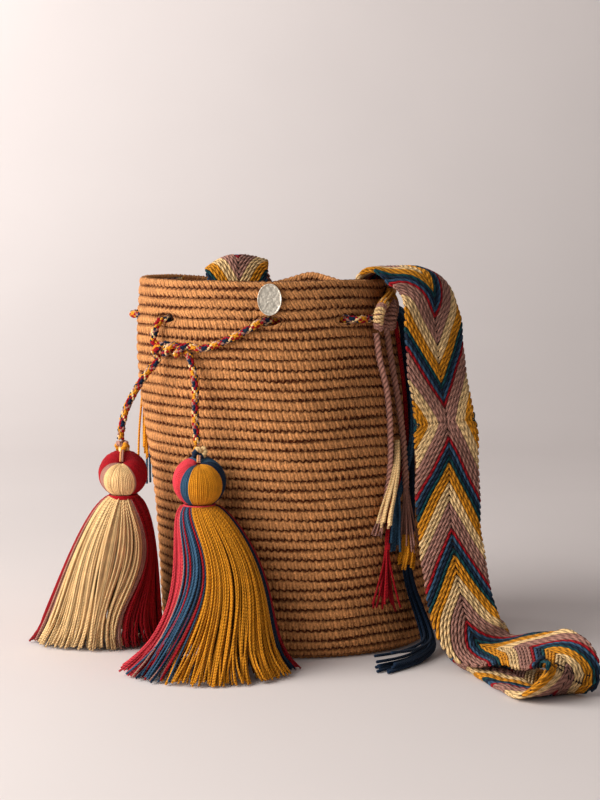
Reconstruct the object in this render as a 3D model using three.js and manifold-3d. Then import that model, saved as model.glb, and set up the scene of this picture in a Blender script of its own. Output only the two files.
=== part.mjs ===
// A crocheted bucket bag with a drawstring, two tassels and a woven shoulder strap.
// Millimetres, +Z up. The origin is the centre of the underside of the base, and -Y faces the front.
import * as THREE from 'three';
import { mergeVertices } from 'three/addons/utils/BufferGeometryUtils.js';
import Module from 'manifold-3d';

const wasm = await Module();
wasm.setup();

// Bag
const bagHeight = 300;
const baseRadius = 116;
const bellyRadius = 112;
const shoulderRadius = 110;
const rimRadius = 106;
const wallThickness = 5;
const baseCorner = 14; // rounding between the base and the wall
const ridgeHeight = 2; // four soft ridges make the round bag a little square
const ridgeAzimuth = -152;
const rimDips = [
  { azimuth: 98, spread: 15, depth: 10 },
  { azimuth: 25, spread: 24, depth: 8 },
];

// Drawstring
const cordDiameter = 6;
const clearance = 0.3;
const cordLevel = 31.5; // below the rim
const eyeletPairs = 6;
const firstEyelet = -89;
const insideSpan = 35.2; // degrees that the cord runs inside the wall
const outsideSpan = 20;
const eyeletHalfWidth = 9;
const eyeletHalfHeight = 5;

// Tassels
const creamHeadRadius = 19.3;
const mustardHeadRadius = 20.6;
const bindingThickness = 3;

// Metal tag
const tagWidth = 19;
const tagHeight = 25;
const tagThickness = 1.6;
const tagRim = 1.2;
const tagAzimuth = -87.8;
const tagLevel = 14.8; // below the rim
const tagSeat = 0.8; // from the wall, which curves away behind the flat disc
const knotWidth = 11;
const knotHeight = 8;

// Strap
const strapWidth = 54;
const strapThickness = 4.4;

// Yarn fringes where the strap's ends are sewn in
const rightFringeAzimuth = -22;
const leftFringeAzimuth = 155;
const fringeLevel = 12.5; // below the rim
const fringeHoleHalfWidth = 8;
const fringeHoleHalfHeight = 4;

const outline = [
  { height: 0, radius: baseRadius, lean: 0 },
  { height: 0.35 * bagHeight, radius: bellyRadius, lean: -8 },
  { height: 0.68 * bagHeight, radius: bellyRadius, lean: -20 },
  { height: 0.85 * bagHeight, radius: shoulderRadius, lean: -26 },
  { height: bagHeight, radius: rimRadius, lean: -28.7 },
];

const radians = THREE.MathUtils.degToRad;

// Value of the outline at a height, along a smooth curve through its stations.
function outlineAt(height, key) {
  const last = outline.length - 1;
  if (height <= 0) return outline[0][key];
  if (height >= bagHeight) return outline[last][key];
  const slope = (i) => {
    const before = outline[Math.max(i - 1, 0)];
    const after = outline[Math.min(i + 1, last)];
    return (after[key] - before[key]) / (after.height - before.height);
  };
  const i = outline.findLastIndex((station) => station.height <= height);
  const rise = outline[i + 1].height - outline[i].height;
  const t = (height - outline[i].height) / rise;
  const t2 = t * t;
  const t3 = t2 * t;
  return (2 * t3 - 3 * t2 + 1) * outline[i][key] + (t3 - 2 * t2 + t) * rise * slope(i)
    + (3 * t2 - 2 * t3) * outline[i + 1][key] + (t3 - t2) * rise * slope(i + 1);
}

function wallRadius(azimuth, height) {
  const share = THREE.MathUtils.clamp(height / bagHeight, 0, 1);
  const ridge = Math.cos(4 * radians(azimuth - ridgeAzimuth)) * Math.sin(Math.PI * share);
  return outlineAt(height, 'radius') + ridgeHeight * ridge;
}

// How far the soft rim sags below its full height, and how much of that a lower point shares.
function sagAt(azimuth, height) {
  const share = THREE.MathUtils.clamp(height / bagHeight, 0, 1);
  let sag = 0;
  for (const dip of rimDips) {
    const turn = THREE.MathUtils.euclideanModulo(azimuth - dip.azimuth + 180, 360) - 180;
    sag += dip.depth * Math.exp(-((turn / dip.spread) ** 2));
  }
  return sag * share ** 4;
}

// Point on the outside of the wall, or standing off it. Heights are those of the unsagged bag.
function wallPoint(azimuth, height, standOff = 0) {
  const reach = wallRadius(azimuth, height) + standOff;
  const angle = radians(azimuth);
  const x = outlineAt(height, 'lean') + reach * Math.cos(angle);
  return new THREE.Vector3(x, reach * Math.sin(angle), height - sagAt(azimuth, height));
}

// Moves a point straight out until it clears the wall.
function keepOffWall(point, gap) {
  const centre = outlineAt(point.z, 'lean');
  const away = new THREE.Vector2(point.x - centre, point.y);
  const azimuth = THREE.MathUtils.radToDeg(away.angle());
  const least = wallRadius(azimuth, point.z) + gap;
  if (away.length() < least) away.setLength(least);
  return new THREE.Vector3(centre + away.x, away.y, point.z);
}

// Closed solid through rings of points that all have as many corners.
function loft(rings) {
  const corners = rings[0].length;
  const points = rings.flat();
  const faces = [];
  const middle = (ring) => ring.reduce((sum, p) => sum.add(p), new THREE.Vector3()).divideScalar(corners);
  for (let r = 0; r < rings.length - 1; r++) {
    for (let c = 0; c < corners; c++) {
      const a = r * corners + c;
      const b = r * corners + (c + 1) % corners;
      faces.push(a, b, b + corners, a, b + corners, a + corners);
    }
  }
  const start = points.push(middle(rings[0])) - 1;
  const end = points.push(middle(rings[rings.length - 1])) - 1;
  const lastRing = (rings.length - 1) * corners;
  for (let c = 0; c < corners; c++) {
    const next = (c + 1) % corners;
    faces.push(start, next, c, end, lastRing + c, lastRing + next);
  }
  const geometry = new THREE.BufferGeometry().setFromPoints(points);
  geometry.setIndex(faces);
  return geometry;
}

// Ring of points round a level ellipse, anticlockwise from above.
function ellipseRing(centre, halfX, halfY, corners) {
  const ring = [];
  for (let i = 0; i < corners; i++) {
    const angle = 2 * Math.PI * i / corners;
    ring.push(new THREE.Vector3(centre.x + halfX * Math.cos(angle), centre.y + halfY * Math.sin(angle), centre.z));
  }
  return ring;
}

// Part of a curve between two shares of its length.
class Stretch extends THREE.Curve {
  constructor(whole, from, to) {
    super();
    this.whole = whole;
    this.from = from;
    this.to = to;
  }

  getPoint(t, target = new THREE.Vector3()) {
    return this.whole.getPointAt(THREE.MathUtils.clamp(this.from + t * (this.to - this.from), 0, 1), target);
  }
}

function roundSection(diameter, sides) {
  const shape = new THREE.Shape();
  for (let i = 0; i < sides; i++) {
    const angle = 2 * Math.PI * i / sides;
    const x = diameter / 2 * Math.cos(angle);
    const y = diameter / 2 * Math.sin(angle);
    if (i === 0) shape.moveTo(x, y);
    else shape.lineTo(x, y);
  }
  shape.closePath();
  return shape;
}

function tube(curve, diameter, steps, sides = 8) {
  const section = roundSection(diameter, sides);
  return new THREE.ExtrudeGeometry(section, { steps, bevelEnabled: false, extrudePath: curve });
}

function toSolid(geometry) {
  const bare = geometry.clone();
  for (const name of ['normal', 'uv']) bare.deleteAttribute(name);
  const merged = mergeVertices(bare, 1e-4);
  const corners = [];
  for (let i = 0; i < merged.index.count; i += 3) {
    const face = [0, 1, 2].map((k) => merged.index.getX(i + k));
    if (new Set(face).size === 3) corners.push(...face);
  }
  const vertProperties = new Float32Array(merged.attributes.position.array);
  return new wasm.Manifold(new wasm.Mesh({ numProp: 3, vertProperties, triVerts: new Uint32Array(corners) }));
}

function toGeometry(solid) {
  const mesh = solid.getMesh();
  const geometry = new THREE.BufferGeometry();
  geometry.setAttribute('position', new THREE.BufferAttribute(mesh.vertProperties, 3));
  geometry.setIndex(new THREE.BufferAttribute(mesh.triVerts, 1));
  return geometry;
}

// Bag body: one revolved shell with a rounded rim, pushed into its leaning, slightly square shape.
const eyeletAzimuths = [];
for (let pair = 0; pair < eyeletPairs; pair++) {
  const start = firstEyelet + pair * (insideSpan + outsideSpan);
  eyeletAzimuths.push(start, start + insideSpan);
}
const eyeletHeight = bagHeight - cordLevel;

function shellProfile() {
  const profile = [];
  const add = (radius, height) => profile.push(new THREE.Vector2(radius, height));
  const arc = (centreRadius, centreHeight, size, from, to, steps) => {
    for (let i = 0; i <= steps; i++) {
      const angle = radians(from + (to - from) * i / steps);
      add(centreRadius + size * Math.cos(angle), centreHeight + size * Math.sin(angle));
    }
  };
  const wallSteps = 9;
  const halfWall = wallThickness / 2;
  const top = bagHeight - halfWall;
  const innerCorner = baseCorner - wallThickness;
  add(0, 0);
  add((baseRadius - baseCorner) / 2, 0);
  arc(baseRadius - baseCorner, baseCorner, baseCorner, -90, 0, 4);
  for (let i = 1; i < wallSteps; i++) add(baseRadius, baseCorner + (top - baseCorner) * i / wallSteps);
  arc(baseRadius - halfWall, top, halfWall, 0, 180, 4);
  for (let i = wallSteps - 1; i > 0; i--) {
    add(baseRadius - wallThickness, baseCorner + (top - baseCorner) * i / wallSteps);
  }
  arc(baseRadius - baseCorner, baseCorner, innerCorner, 0, -90, 4);
  add((baseRadius - baseCorner) / 2, wallThickness);
  add(0, wallThickness);
  return profile;
}

function bagBody() {
  const shell = new THREE.LatheGeometry(shellProfile(), 54);
  shell.rotateX(Math.PI / 2);
  const position = shell.attributes.position;
  const point = new THREE.Vector3();
  for (let i = 0; i < position.count; i++) {
    point.fromBufferAttribute(position, i);
    const reach = Math.hypot(point.x, point.y);
    const azimuth = THREE.MathUtils.radToDeg(Math.atan2(point.y, point.x));
    const newReach = reach + (wallRadius(azimuth, point.z) - baseRadius) * reach / baseRadius;
    const x = outlineAt(point.z, 'lean') + newReach * Math.cos(radians(azimuth));
    const y = newReach * Math.sin(radians(azimuth));
    position.setXYZ(i, x, y, point.z - sagAt(azimuth, point.z));
  }
  let body = toSolid(shell);
  for (const azimuth of eyeletAzimuths) {
    body = body.subtract(toSolid(wallCutter(azimuth, eyeletHeight, eyeletHalfWidth, eyeletHalfHeight)));
  }
  for (const azimuth of [rightFringeAzimuth, leftFringeAzimuth]) {
    const height = bagHeight - fringeLevel;
    body = body.subtract(toSolid(wallCutter(azimuth, height, fringeHoleHalfWidth, fringeHoleHalfHeight)));
  }
  return toGeometry(body);
}

// Oval plug that runs straight through the wall.
function wallCutter(azimuth, height, halfWidth, halfHeight) {
  const cutter = new THREE.CylinderGeometry(1, 1, 4 * wallThickness, 12);
  cutter.scale(halfWidth, 1, halfHeight);
  cutter.rotateZ(-Math.PI / 2);
  cutter.rotateZ(radians(azimuth));
  const middle = wallPoint(azimuth, height, -wallThickness / 2);
  cutter.translate(middle.x, middle.y, middle.z);
  return cutter;
}

// Routes that hang from the rim are lists of azimuth, height and distance of the middle from the
// wall, chosen on a bag of this height. They move up and down with the rim.
const routeHeight = 300;
const fromRim = (route) => route.map(([azimuth, height, off]) => (
  wallPoint(azimuth, height + bagHeight - routeHeight, off)));

// Drawstring: one route from the left end through the half knot and the right exit eyelet, in and
// out round the rim, and through the left exit eyelet and the half knot to the right end.
const leftEndRoute = [
  [-146.4, 172.8, 38.8],
  [-146.1, 180, 37.6],
  [-145, 196.5, 32.6],
  [-142.8, 215.5, 22],
  [-141, 226.5, 14.5],
  [-138.6, 235.5, 8],
];
const rightEndRoute = [
  [-119.8, 171.7, 19.7],
  [-119.8, 181, 18.2],
  [-119.9, 195.2, 15.9],
  [-119.5, 215.5, 12.5],
  [-120.6, 230, 9],
];
const rightEyeletRoute = [
  [-117.5, 246.5, 6.4],
  [-112.8, 248.5, 5],
  [-104.9, 254.5, 4.6],
  [-96.4, 263, 4.6],
  [-92.4, 267.5, 3.8],
];
const leftEyeletRoute = [
  [-141, 253.5, 7],
  [-139.8, 261.5, 5.5],
  [-138.8, 267, 3.2],
];
const knotLevel = 245;
const knotTurns = 1.5;
const knotStart = -140;
const knotEnd = -122.5;
const knotStandOff = 7.4;
const knotReach = 3.5; // from the middle of the half knot to the middle of each cord
const knotPoints = 12;

// One cord's way along the half knot. The two cords are half a turn apart.
function twist(phase) {
  const route = [];
  for (let i = 0; i <= knotPoints; i++) {
    const angle = 2 * Math.PI * knotTurns * i / knotPoints + phase;
    const azimuth = THREE.MathUtils.lerp(knotStart, knotEnd, i / knotPoints);
    route.push([azimuth, knotLevel + knotReach * Math.sin(angle), knotStandOff + knotReach * Math.cos(angle)]);
  }
  return route;
}

const outsideRun = cordDiameter / 2 + clearance + 0.5;
const insideRun = -wallThickness - cordDiameter / 2 - clearance - 0.9;
const eyeletLead = 4.6; // degrees either side of an eyelet in which the cord goes through the wall

// The stretch that the wall holds, from the first eyelet anticlockwise to the last.
function heldRoute() {
  const points = [];
  const add = (azimuth, standOff) => points.push(wallPoint(azimuth, eyeletHeight, standOff));
  eyeletAzimuths.forEach((azimuth, i) => {
    const goesIn = i % 2 === 0;
    const before = goesIn ? outsideRun : insideRun;
    const after = goesIn ? insideRun : outsideRun;
    if (i > 0) add(azimuth - eyeletLead, before);
    add(azimuth, -wallThickness / 2);
    if (i < eyeletAzimuths.length - 1) {
      add(azimuth + eyeletLead, after);
      add(azimuth + (goesIn ? insideSpan : outsideSpan) / 2, after);
    }
  });
  return points;
}

const leftFree = fromRim([...leftEndRoute, ...twist(-Math.PI / 2), ...rightEyeletRoute]);
const rightFree = fromRim([...rightEndRoute, ...twist(Math.PI / 2).reverse(), ...leftEyeletRoute]);
const held = heldRoute();
const cordRoute = [...leftFree, ...held, ...rightFree.toReversed()];
const cordCurve = new THREE.CatmullRomCurve3(cordRoute, false, 'centripetal');
cordCurve.arcLengthDivisions = 3000;

// Share of the cord's length up to a point of its route.
function shareAtPoint(index) {
  const lengths = cordCurve.getLengths();
  const place = Math.round(index / (cordRoute.length - 1) * (lengths.length - 1));
  return lengths[place] / cordCurve.getLength();
}
const heldFrom = shareAtPoint(leftFree.length - 0.5);
const heldTo = shareAtPoint(leftFree.length + held.length - 0.5);
const halfGap = clearance / 2 / cordCurve.getLength();

// Knot at a free end of the drawstring, on top of a tassel's head.
function endKnot(tassel) {
  const knot = new THREE.SphereGeometry(1, 12, 8);
  knot.scale(knotWidth / 2, knotWidth / 2, knotHeight / 2);
  const { x, y, z } = tassel.head;
  knot.translate(x, y, z + tassel.headRadius * Math.sin(radians(headCap)) + clearance + knotHeight / 2);
  return knot;
}

// Strap: stations of the band's middle and the direction of its width.
// at: azimuth, height and distance from the wall; turn: azimuth of the width; tilt: its rise.
// The stations above this height move up and down with the rim.
const strapRimZone = 100;
const strapStations = [
  // sewn inside the right of the rim
  { at: [-25, 277, -12.4], turn: 65, tilt: 0 },
  { at: [-25, 289, -12.4], turn: 65, tilt: 0 },
  { at: [-25, 299, -11.4], turn: 65, tilt: 0 },
  // over the rim
  { at: [-25, 306.4, -4], turn: 64, tilt: 0 },
  { at: [-25.5, 307.8, 8], turn: 62, tilt: 0 },
  { at: [-26, 307.2, 22], turn: 59, tilt: 0 },
  { at: [-26.5, 302.5, 35], turn: 53, tilt: 0 },
  { at: [-27, 290, 43], turn: 44, tilt: 0 },
  // down in front of the wall
  { at: [-27.5, 268, 43.5], turn: 32, tilt: 0 },
  { at: [-28.3, 225, 42], turn: 27, tilt: 0 },
  { at: [-30, 178, 45], turn: 19, tilt: 0 },
  { at: [-36, 112, 47], turn: 16, tilt: 0 },
  { at: [-40.5, 79, 55.5], turn: 16, tilt: 0 },
  { at: [-43.9, 50, 66.2], turn: 16, tilt: 0 },
  // turning to the right above the floor
  { at: [-46.2, 32, 77.5], turn: 14, tilt: 7 },
  { at: [-46.2, 21, 86], turn: 20, tilt: 12 },
  { at: [-45.8, 17.5, 97], turn: 34, tilt: 14 },
  { at: [-45.3, 18.5, 109], turn: 53, tilt: 13 },
  { at: [-45.4, 22, 122], turn: 69, tilt: 8 },
  { at: [-46.3, 26, 140], turn: 75, tilt: 8 },
  // the curl
  { at: [-47.7, 28.5, 161], turn: 70, tilt: 15 },
  { at: [-49.2, 27, 181.5], turn: 55, tilt: 16 },
  { at: [-50.6, 20, 193.5], turn: 41, tilt: 4 },
  { at: [-51.6, 12.5, 191.5], turn: 34, tilt: -1 },
  // back along the floor
  { at: [-52.2, 4.4, 181], turn: 26, tilt: 0 },
  { at: [-50.2, 3.2, 154], turn: 18, tilt: 0 },
  { at: [-47, 3, 121.5], turn: 18, tilt: 0 },
  { at: [-40, 3, 76.5], turn: 14, tilt: 0 },
  { at: [-28, 3, 49], turn: 7, tilt: 0 },
  { at: [-14, 3, 36.5], turn: 2, tilt: 0 },
  { at: [2, 3, 32], turn: 6, tilt: 0 },
  { at: [18, 3.6, 31.5], turn: 20, tilt: -2 },
  // up the back of the wall
  { at: [33, 13.5, 29.5], turn: 38, tilt: -20 },
  { at: [47, 30, 20], turn: 88, tilt: -48 },
  { at: [60, 62, 10], turn: 143, tilt: -33 },
  { at: [72, 112, 7.5], turn: 162, tilt: -24 },
  { at: [84, 175, 7.5], turn: 174, tilt: -20 },
  { at: [94, 235, 9], turn: 184, tilt: -14 },
  { at: [101, 280, 10.5], turn: 191, tilt: -6 },
  { at: [104, 303, 9.5], turn: 194, tilt: 0 },
  { at: [105, 314, 0], turn: 195, tilt: 0 },
  { at: [106, 310, -12], turn: 195, tilt: 0 },
  // down inside and up to the left of the rim
  { at: [107, 294, -19.5], turn: 194, tilt: 0 },
  { at: [108, 270, -23], turn: 186, tilt: 0 },
  { at: [111.5, 240, -28], turn: 168, tilt: 0 },
  { at: [119, 218, -36], turn: 146, tilt: 0 },
  { at: [131, 210, -39], turn: 128, tilt: 0 },
  { at: [143, 218, -37], turn: 106, tilt: 0 },
  { at: [151, 238, -29], turn: 84, tilt: 0 },
  { at: [154.5, 258, -22], turn: 69, tilt: 0 },
  { at: [155, 273, -19], turn: 65, tilt: 0 },
  { at: [155, 284, -13.2], turn: 65, tilt: 0 },
  { at: [155, 297, -12.4], turn: 65, tilt: 0 },
];
const strapSteps = 156;
const strapEdge = 1.6; // width of the rounded edge

function widthDirection({ turn, tilt }) {
  const level = Math.cos(radians(tilt));
  return new THREE.Vector3(
    level * Math.cos(radians(turn)), level * Math.sin(radians(turn)), Math.sin(radians(tilt)));
}

function strapBand() {
  const middles = strapStations.map(({ at: [azimuth, height, off] }) => {
    const level = height > strapRimZone ? height + bagHeight - routeHeight : height;
    return wallPoint(azimuth, level, off).setZ(level);
  });
  const path = new THREE.CatmullRomCurve3(middles, false, 'centripetal');
  const sway = new THREE.CatmullRomCurve3(strapStations.map(widthDirection), false, 'catmullrom', 0.5);
  path.arcLengthDivisions = 2000;
  const half = strapWidth / 2;
  const thick = strapThickness / 2;
  const section = [
    [half, 0], [half - strapEdge, thick], [0, thick], [strapEdge - half, thick],
    [-half, 0], [strapEdge - half, -thick], [0, -thick], [half - strapEdge, -thick],
  ];
  const rings = [];
  for (let i = 0; i <= strapSteps; i++) {
    const t = path.getUtoTmapping(i / strapSteps);
    const middle = path.getPoint(t);
    const along = path.getTangent(t);
    const across = sway.getPoint(t);
    across.addScaledVector(along, -across.dot(along)).normalize();
    const out = along.clone().cross(across);
    rings.push(section.map(([w, n]) => middle.clone().addScaledVector(across, w).addScaledVector(out, n)));
  }
  return loft(rings);
}

// Tassel: a wrapped ball, a bound neck and a skirt that widens to the floor.
const creamTassel = {
  headRadius: creamHeadRadius,
  head: wallPoint(-146.6, 145.2, 40.8),
  foot: wallPoint(-164.5, 0, 56.5).setZ(clearance),
  neckRadius: 10,
  spread: 42,
  spreadPower: 0.5,
  flare: 4,
  depth: 0.66,
  bow: 0,
};
const mustardTassel = {
  headRadius: mustardHeadRadius,
  head: wallPoint(-120.1, 142.9, 22.3),
  foot: wallPoint(-115, 0, 49.5).setZ(clearance),
  neckRadius: 11,
  spread: 37,
  spreadPower: 0.42,
  flare: 20,
  depth: 0.8,
  bow: 12,
};
const neckDrop = 0.86; // of the head's radius, from its middle to the neck
const headCap = 78; // degrees up the head at which it is closed
const tasselCorners = 18;

function tasselBody(tassel) {
  const rings = [];
  const { head, foot, headRadius, neckRadius } = tassel;
  const headSteps = 6;
  const headTurn = 132;
  for (let i = 0; i <= headSteps; i++) {
    const angle = radians(headCap - headTurn * i / headSteps);
    const centre = head.clone().setZ(head.z + headRadius * Math.sin(angle));
    rings.push(ellipseRing(centre, headRadius * Math.cos(angle), headRadius * Math.cos(angle), tasselCorners));
  }
  const neck = head.clone().setZ(head.z - headRadius * neckDrop);
  const skirtTop = neck.clone().setZ(neck.z - bindingThickness - 2 * clearance);
  for (const level of [neck, skirtTop]) rings.push(ellipseRing(level, neckRadius, neckRadius, tasselCorners));
  const skirtSteps = 10;
  for (let i = 1; i <= skirtSteps; i++) {
    const fall = (i / skirtSteps) ** 1.4;
    const centre = skirtTop.clone().lerp(foot, fall);
    centre.x += tassel.bow * Math.sin(Math.PI * fall);
    const widened = tassel.spread * fall ** tassel.spreadPower + tassel.flare * fall ** 6;
    const ring = ellipseRing(centre, neckRadius + widened, neckRadius + widened * tassel.depth, tasselCorners);
    rings.push(ring.map((point) => keepOffWall(point, 1)));
  }
  return loft(rings.reverse());
}

// Yarn wound round the neck.
function tasselBinding(tassel) {
  const thick = bindingThickness / 2;
  const middle = tassel.neckRadius + clearance + thick;
  const corners = 8;
  const profile = [];
  for (let i = 0; i <= corners; i++) {
    const angle = 2 * Math.PI * i / corners;
    profile.push(new THREE.Vector2(middle + thick * Math.cos(angle), thick * Math.sin(angle)));
  }
  const ring = new THREE.LatheGeometry(profile, tasselCorners);
  ring.rotateX(Math.PI / 2);
  const { x, y, z } = tassel.head;
  ring.translate(x, y, z - tassel.headRadius * neckDrop - thick - clearance);
  return ring;
}

// Oval metal tag: a bare disc with a raised rim, flat on the front of the wall.
function metalTag() {
  const radius = tagHeight / 2;
  const profile = [
    [0, 0],
    [radius - 0.4, 0],
    [radius, 0.4],
    [radius, tagThickness],
    [radius - 0.4, tagThickness + 0.4],
    [radius - tagRim, tagThickness + 0.4],
    [radius - tagRim - 0.4, tagThickness],
    [0, tagThickness],
  ].map(([r, h]) => new THREE.Vector2(r, h));
  const tag = new THREE.LatheGeometry(profile, 26);
  tag.scale(tagWidth / tagHeight, 1, 1);
  const height = bagHeight - tagLevel;
  const rise = wallPoint(tagAzimuth, height + tagHeight / 2).sub(wallPoint(tagAzimuth, height - tagHeight / 2));
  const along = wallPoint(tagAzimuth + 1, height).sub(wallPoint(tagAzimuth - 1, height));
  const out = along.clone().cross(rise).normalize();
  const pose = new THREE.Matrix4().makeBasis(along.normalize(), out, along.clone().cross(out));
  tag.applyMatrix4(pose.setPosition(wallPoint(tagAzimuth, height, tagSeat)));
  return tag;
}

// Yarn ends of the strap, drawn through the wall and left hanging outside it.
const fringes = [
  { name: 'right_wrapped_loop', diameter: 6.4, steps: 16, colour: 0xdec8a0, route: [
    [-22, 287.5, -8.6], [-22, 287.5, -2], [-23.5, 287, 4.2], [-30, 285, 7.4], [-36.5, 278.5, 10.8],
    [-39.8, 269, 11], [-39.6, 259, 8],
  ] },
  { name: 'right_mauve_cord_left', diameter: 4.2, steps: 16, colour: 0x967873, route: [
    [-39.4, 257, 2.9], [-39.6, 236, 2.9], [-37.8, 209, 2.9], [-39.2, 176, 2.9], [-43.8, 140, 2.9],
    [-48.7, 118, 2.9], [-54.3, 94, 2.9],
  ] },
  { name: 'right_mauve_cord_right', diameter: 4.2, steps: 18, colour: 0x967873, route: [
    [-32, 261, 2.9], [-31.2, 246, 2.9], [-31, 228, 2.9], [-30.4, 201, 2.9], [-29.6, 174, 2.9],
    [-31.4, 137, 2.9], [-34, 112, 2.9], [-37, 92, 2.9], [-38.5, 76, 2.9],
  ] },
  { name: 'right_cream_fringe', diameter: 8, steps: 10, colour: 0xdec8a0, route: [
    [-34.6, 192, 4.6], [-34.4, 176, 5.5], [-36.6, 158, 8.5], [-40.6, 139, 10.6], [-46.2, 120, 12.4],
    [-50, 103, 13.6],
  ] },
  { name: 'right_red_fringe', diameter: 7, steps: 10, colour: 0xa5192d, route: [
    [-44, 122, 4.2], [-47.4, 104, 4.3], [-49.8, 90, 4.4], [-53.6, 70, 4.6], [-55, 52, 4.6], [-54.6, 36, 4.6],
  ] },
  { name: 'right_blue_fringe', diameter: 6.4, steps: 8, colour: 0x234b6e, route: [
    [-40.2, 124, 3.9], [-41.8, 106, 3.9], [-43.8, 88, 3.9], [-45.6, 70, 3.9],
  ] },
  { name: 'right_navy_fringe', diameter: 9, steps: 12, colour: 0x193c4b, route: [
    [-39.6, 68, 5.2], [-36.6, 48.5, 5.4], [-35.4, 32, 5.4], [-36.2, 17, 6], [-39.5, 8, 11], [-46, 5.4, 20],
  ] },
  { name: 'left_mustard_fringe', diameter: 6.4, steps: 16, colour: 0xc89128, route: [
    [155, 287.5, -8.6], [155, 287.5, -2], [155, 284, 4.4], [155.2, 262, 7.5], [155.6, 236, 9.4], [156.2, 200, 13],
    [157, 165, 17], [157.6, 138, 19.5],
  ] },
  { name: 'left_blue_fringe', diameter: 5.6, steps: 12, colour: 0x234b6e, route: [
    [151, 275, 3.3], [151, 250, 5.5], [151.6, 215, 9.5], [152.8, 175, 14], [153.8, 140, 17.5], [154.6, 108, 19],
  ] },
];

const group = new THREE.Group();
function piece(name, geometry, colour, roughness = 0.9, metalness = 0) {
  const mesh = new THREE.Mesh(geometry, new THREE.MeshStandardMaterial({ color: colour, roughness, metalness }));
  mesh.name = name;
  group.add(mesh);
}

const cordPiece = (name, from, to, steps) => (
  piece(name, tube(new Stretch(cordCurve, from, to), cordDiameter, steps), 0xa08060));

piece('bag_body', bagBody(), 0xc4905f);
piece('woven_strap', strapBand(), 0x967873);
cordPiece('drawstring', heldFrom + halfGap, heldTo - halfGap, 100);
cordPiece('drawstring_left_end', 0, heldFrom - halfGap, 44);
cordPiece('drawstring_right_end', heldTo + halfGap, 1, 36);
piece('left_end_knot', endKnot(creamTassel), 0xa08060);
piece('right_end_knot', endKnot(mustardTassel), 0xa08060);
piece('cream_tassel', tasselBody(creamTassel), 0xe1c391);
piece('mustard_tassel', tasselBody(mustardTassel), 0xd29123);
piece('cream_tassel_binding', tasselBinding(creamTassel), 0xa5192d);
piece('mustard_tassel_binding', tasselBinding(mustardTassel), 0xa5192d);
piece('metal_tag', metalTag(), 0xb9b4aa, 0.4, 1);
for (const { name, diameter, steps, colour, route } of fringes) {
  piece(name, tube(new THREE.CatmullRomCurve3(fromRim(route), false, 'centripetal'), diameter, steps), colour);
}

export default group;
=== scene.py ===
"""Crocheted bucket bag with a drawstring, two tassels and a braided shoulder strap."""
import math

import bmesh
import bpy
import numpy as np
from mathutils import Matrix, Vector


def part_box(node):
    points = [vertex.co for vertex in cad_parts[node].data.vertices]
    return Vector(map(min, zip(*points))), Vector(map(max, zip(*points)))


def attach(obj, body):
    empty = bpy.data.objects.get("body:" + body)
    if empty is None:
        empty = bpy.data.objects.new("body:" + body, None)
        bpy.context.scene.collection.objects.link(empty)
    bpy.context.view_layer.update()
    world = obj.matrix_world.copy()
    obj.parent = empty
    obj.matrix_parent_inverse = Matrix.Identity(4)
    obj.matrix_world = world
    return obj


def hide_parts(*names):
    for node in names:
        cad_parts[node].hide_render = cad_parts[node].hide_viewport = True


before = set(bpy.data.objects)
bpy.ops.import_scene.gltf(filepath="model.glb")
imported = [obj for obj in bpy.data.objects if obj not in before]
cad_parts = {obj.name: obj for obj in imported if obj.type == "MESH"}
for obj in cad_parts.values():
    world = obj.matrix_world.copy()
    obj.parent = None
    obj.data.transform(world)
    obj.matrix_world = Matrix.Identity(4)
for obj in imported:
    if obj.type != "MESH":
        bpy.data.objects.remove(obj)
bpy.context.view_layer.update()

bl_info = {
    "name": "Crocheted Bucket Bag",
    "version": (1, 0, 0),
    "blender": (4, 5, 0),
    "location": "3D View > Sidebar > Bag",
    "description": "Makes a crocheted bucket bag with tassels and a braided strap",
    "category": "Add Mesh",
}

TURN = 2 * math.pi


def paint(red, green, blue):
    """Linear colour of a screen colour from 0 to 255."""
    shares = (red / 255, green / 255, blue / 255)
    return tuple(c / 12.92 if c < 0.04045 else ((c + 0.055) / 1.055) ** 2.4 for c in shares)


def length(name, description, default):
    """A size that a user can change."""
    return bpy.props.FloatProperty(name=name, description=description, default=default, unit="LENGTH")


def dyed(name, description, red, green, blue):
    """A colour that a user can change."""
    return bpy.props.FloatVectorProperty(
        name=name, description=description, default=paint(red, green, blue), subtype="COLOR", min=0, max=1)


class BagSizes(bpy.types.PropertyGroup):
    """Sizes of the bag's yarns and stitches."""

    stitches: bpy.props.IntProperty(
        name="Stitches", description="Stitches in one row round the wall", default=128, min=40)
    rows: bpy.props.IntProperty(name="Rows", description="Rows from the base to the rim", default=39, min=10)
    row_depth: length("Row Depth", "Height of a row's bulge above the groove", 0.0027)
    chevron_slope: bpy.props.FloatProperty(
        name="Chevron Slope", description="Run of a rope along the strap for its run across it", default=1.88)
    cord_thickness: length("Cord Thickness", "Diameter of the drawstring", 0.006)
    tassel_yarn: length("Tassel Yarn", "Diameter of the yarn in a tassel's skirt", 0.0017)


class YarnColours(bpy.types.PropertyGroup):
    """Colours of the bag's yarns, metal and studio, and of the painted shade in the wall's grooves."""

    tan: dyed("Tan", "Crocheted wall", 219, 150, 92)
    # The groove colour is painted shade: the dark of the shadow deep between two rows, not a yarn's own
    # colour.
    groove_shade: dyed("Groove", "Deep between two rows", 84, 34, 6)
    cream: dyed("Cream", "Cream yarn", 240, 200, 142)
    mauve: dyed("Mauve", "Mauve yarn", 172, 123, 108)
    crimson: dyed("Crimson", "Crimson yarn", 160, 14, 26)
    coral: dyed("Coral", "Coral red yarn", 202, 56, 66)
    blue: dyed("Blue", "Blue yarn", 52, 84, 110)
    navy: dyed("Navy", "Navy yarn", 22, 40, 62)
    teal: dyed("Teal", "Teal yarn", 14, 66, 72)
    mustard: dyed("Mustard", "Mustard yarn", 218, 142, 30)
    metal: dyed("Metal", "Hammered tag", 244, 234, 216)
    backdrop: dyed("Backdrop", "Paper of the studio", 236, 227, 224)


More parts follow.
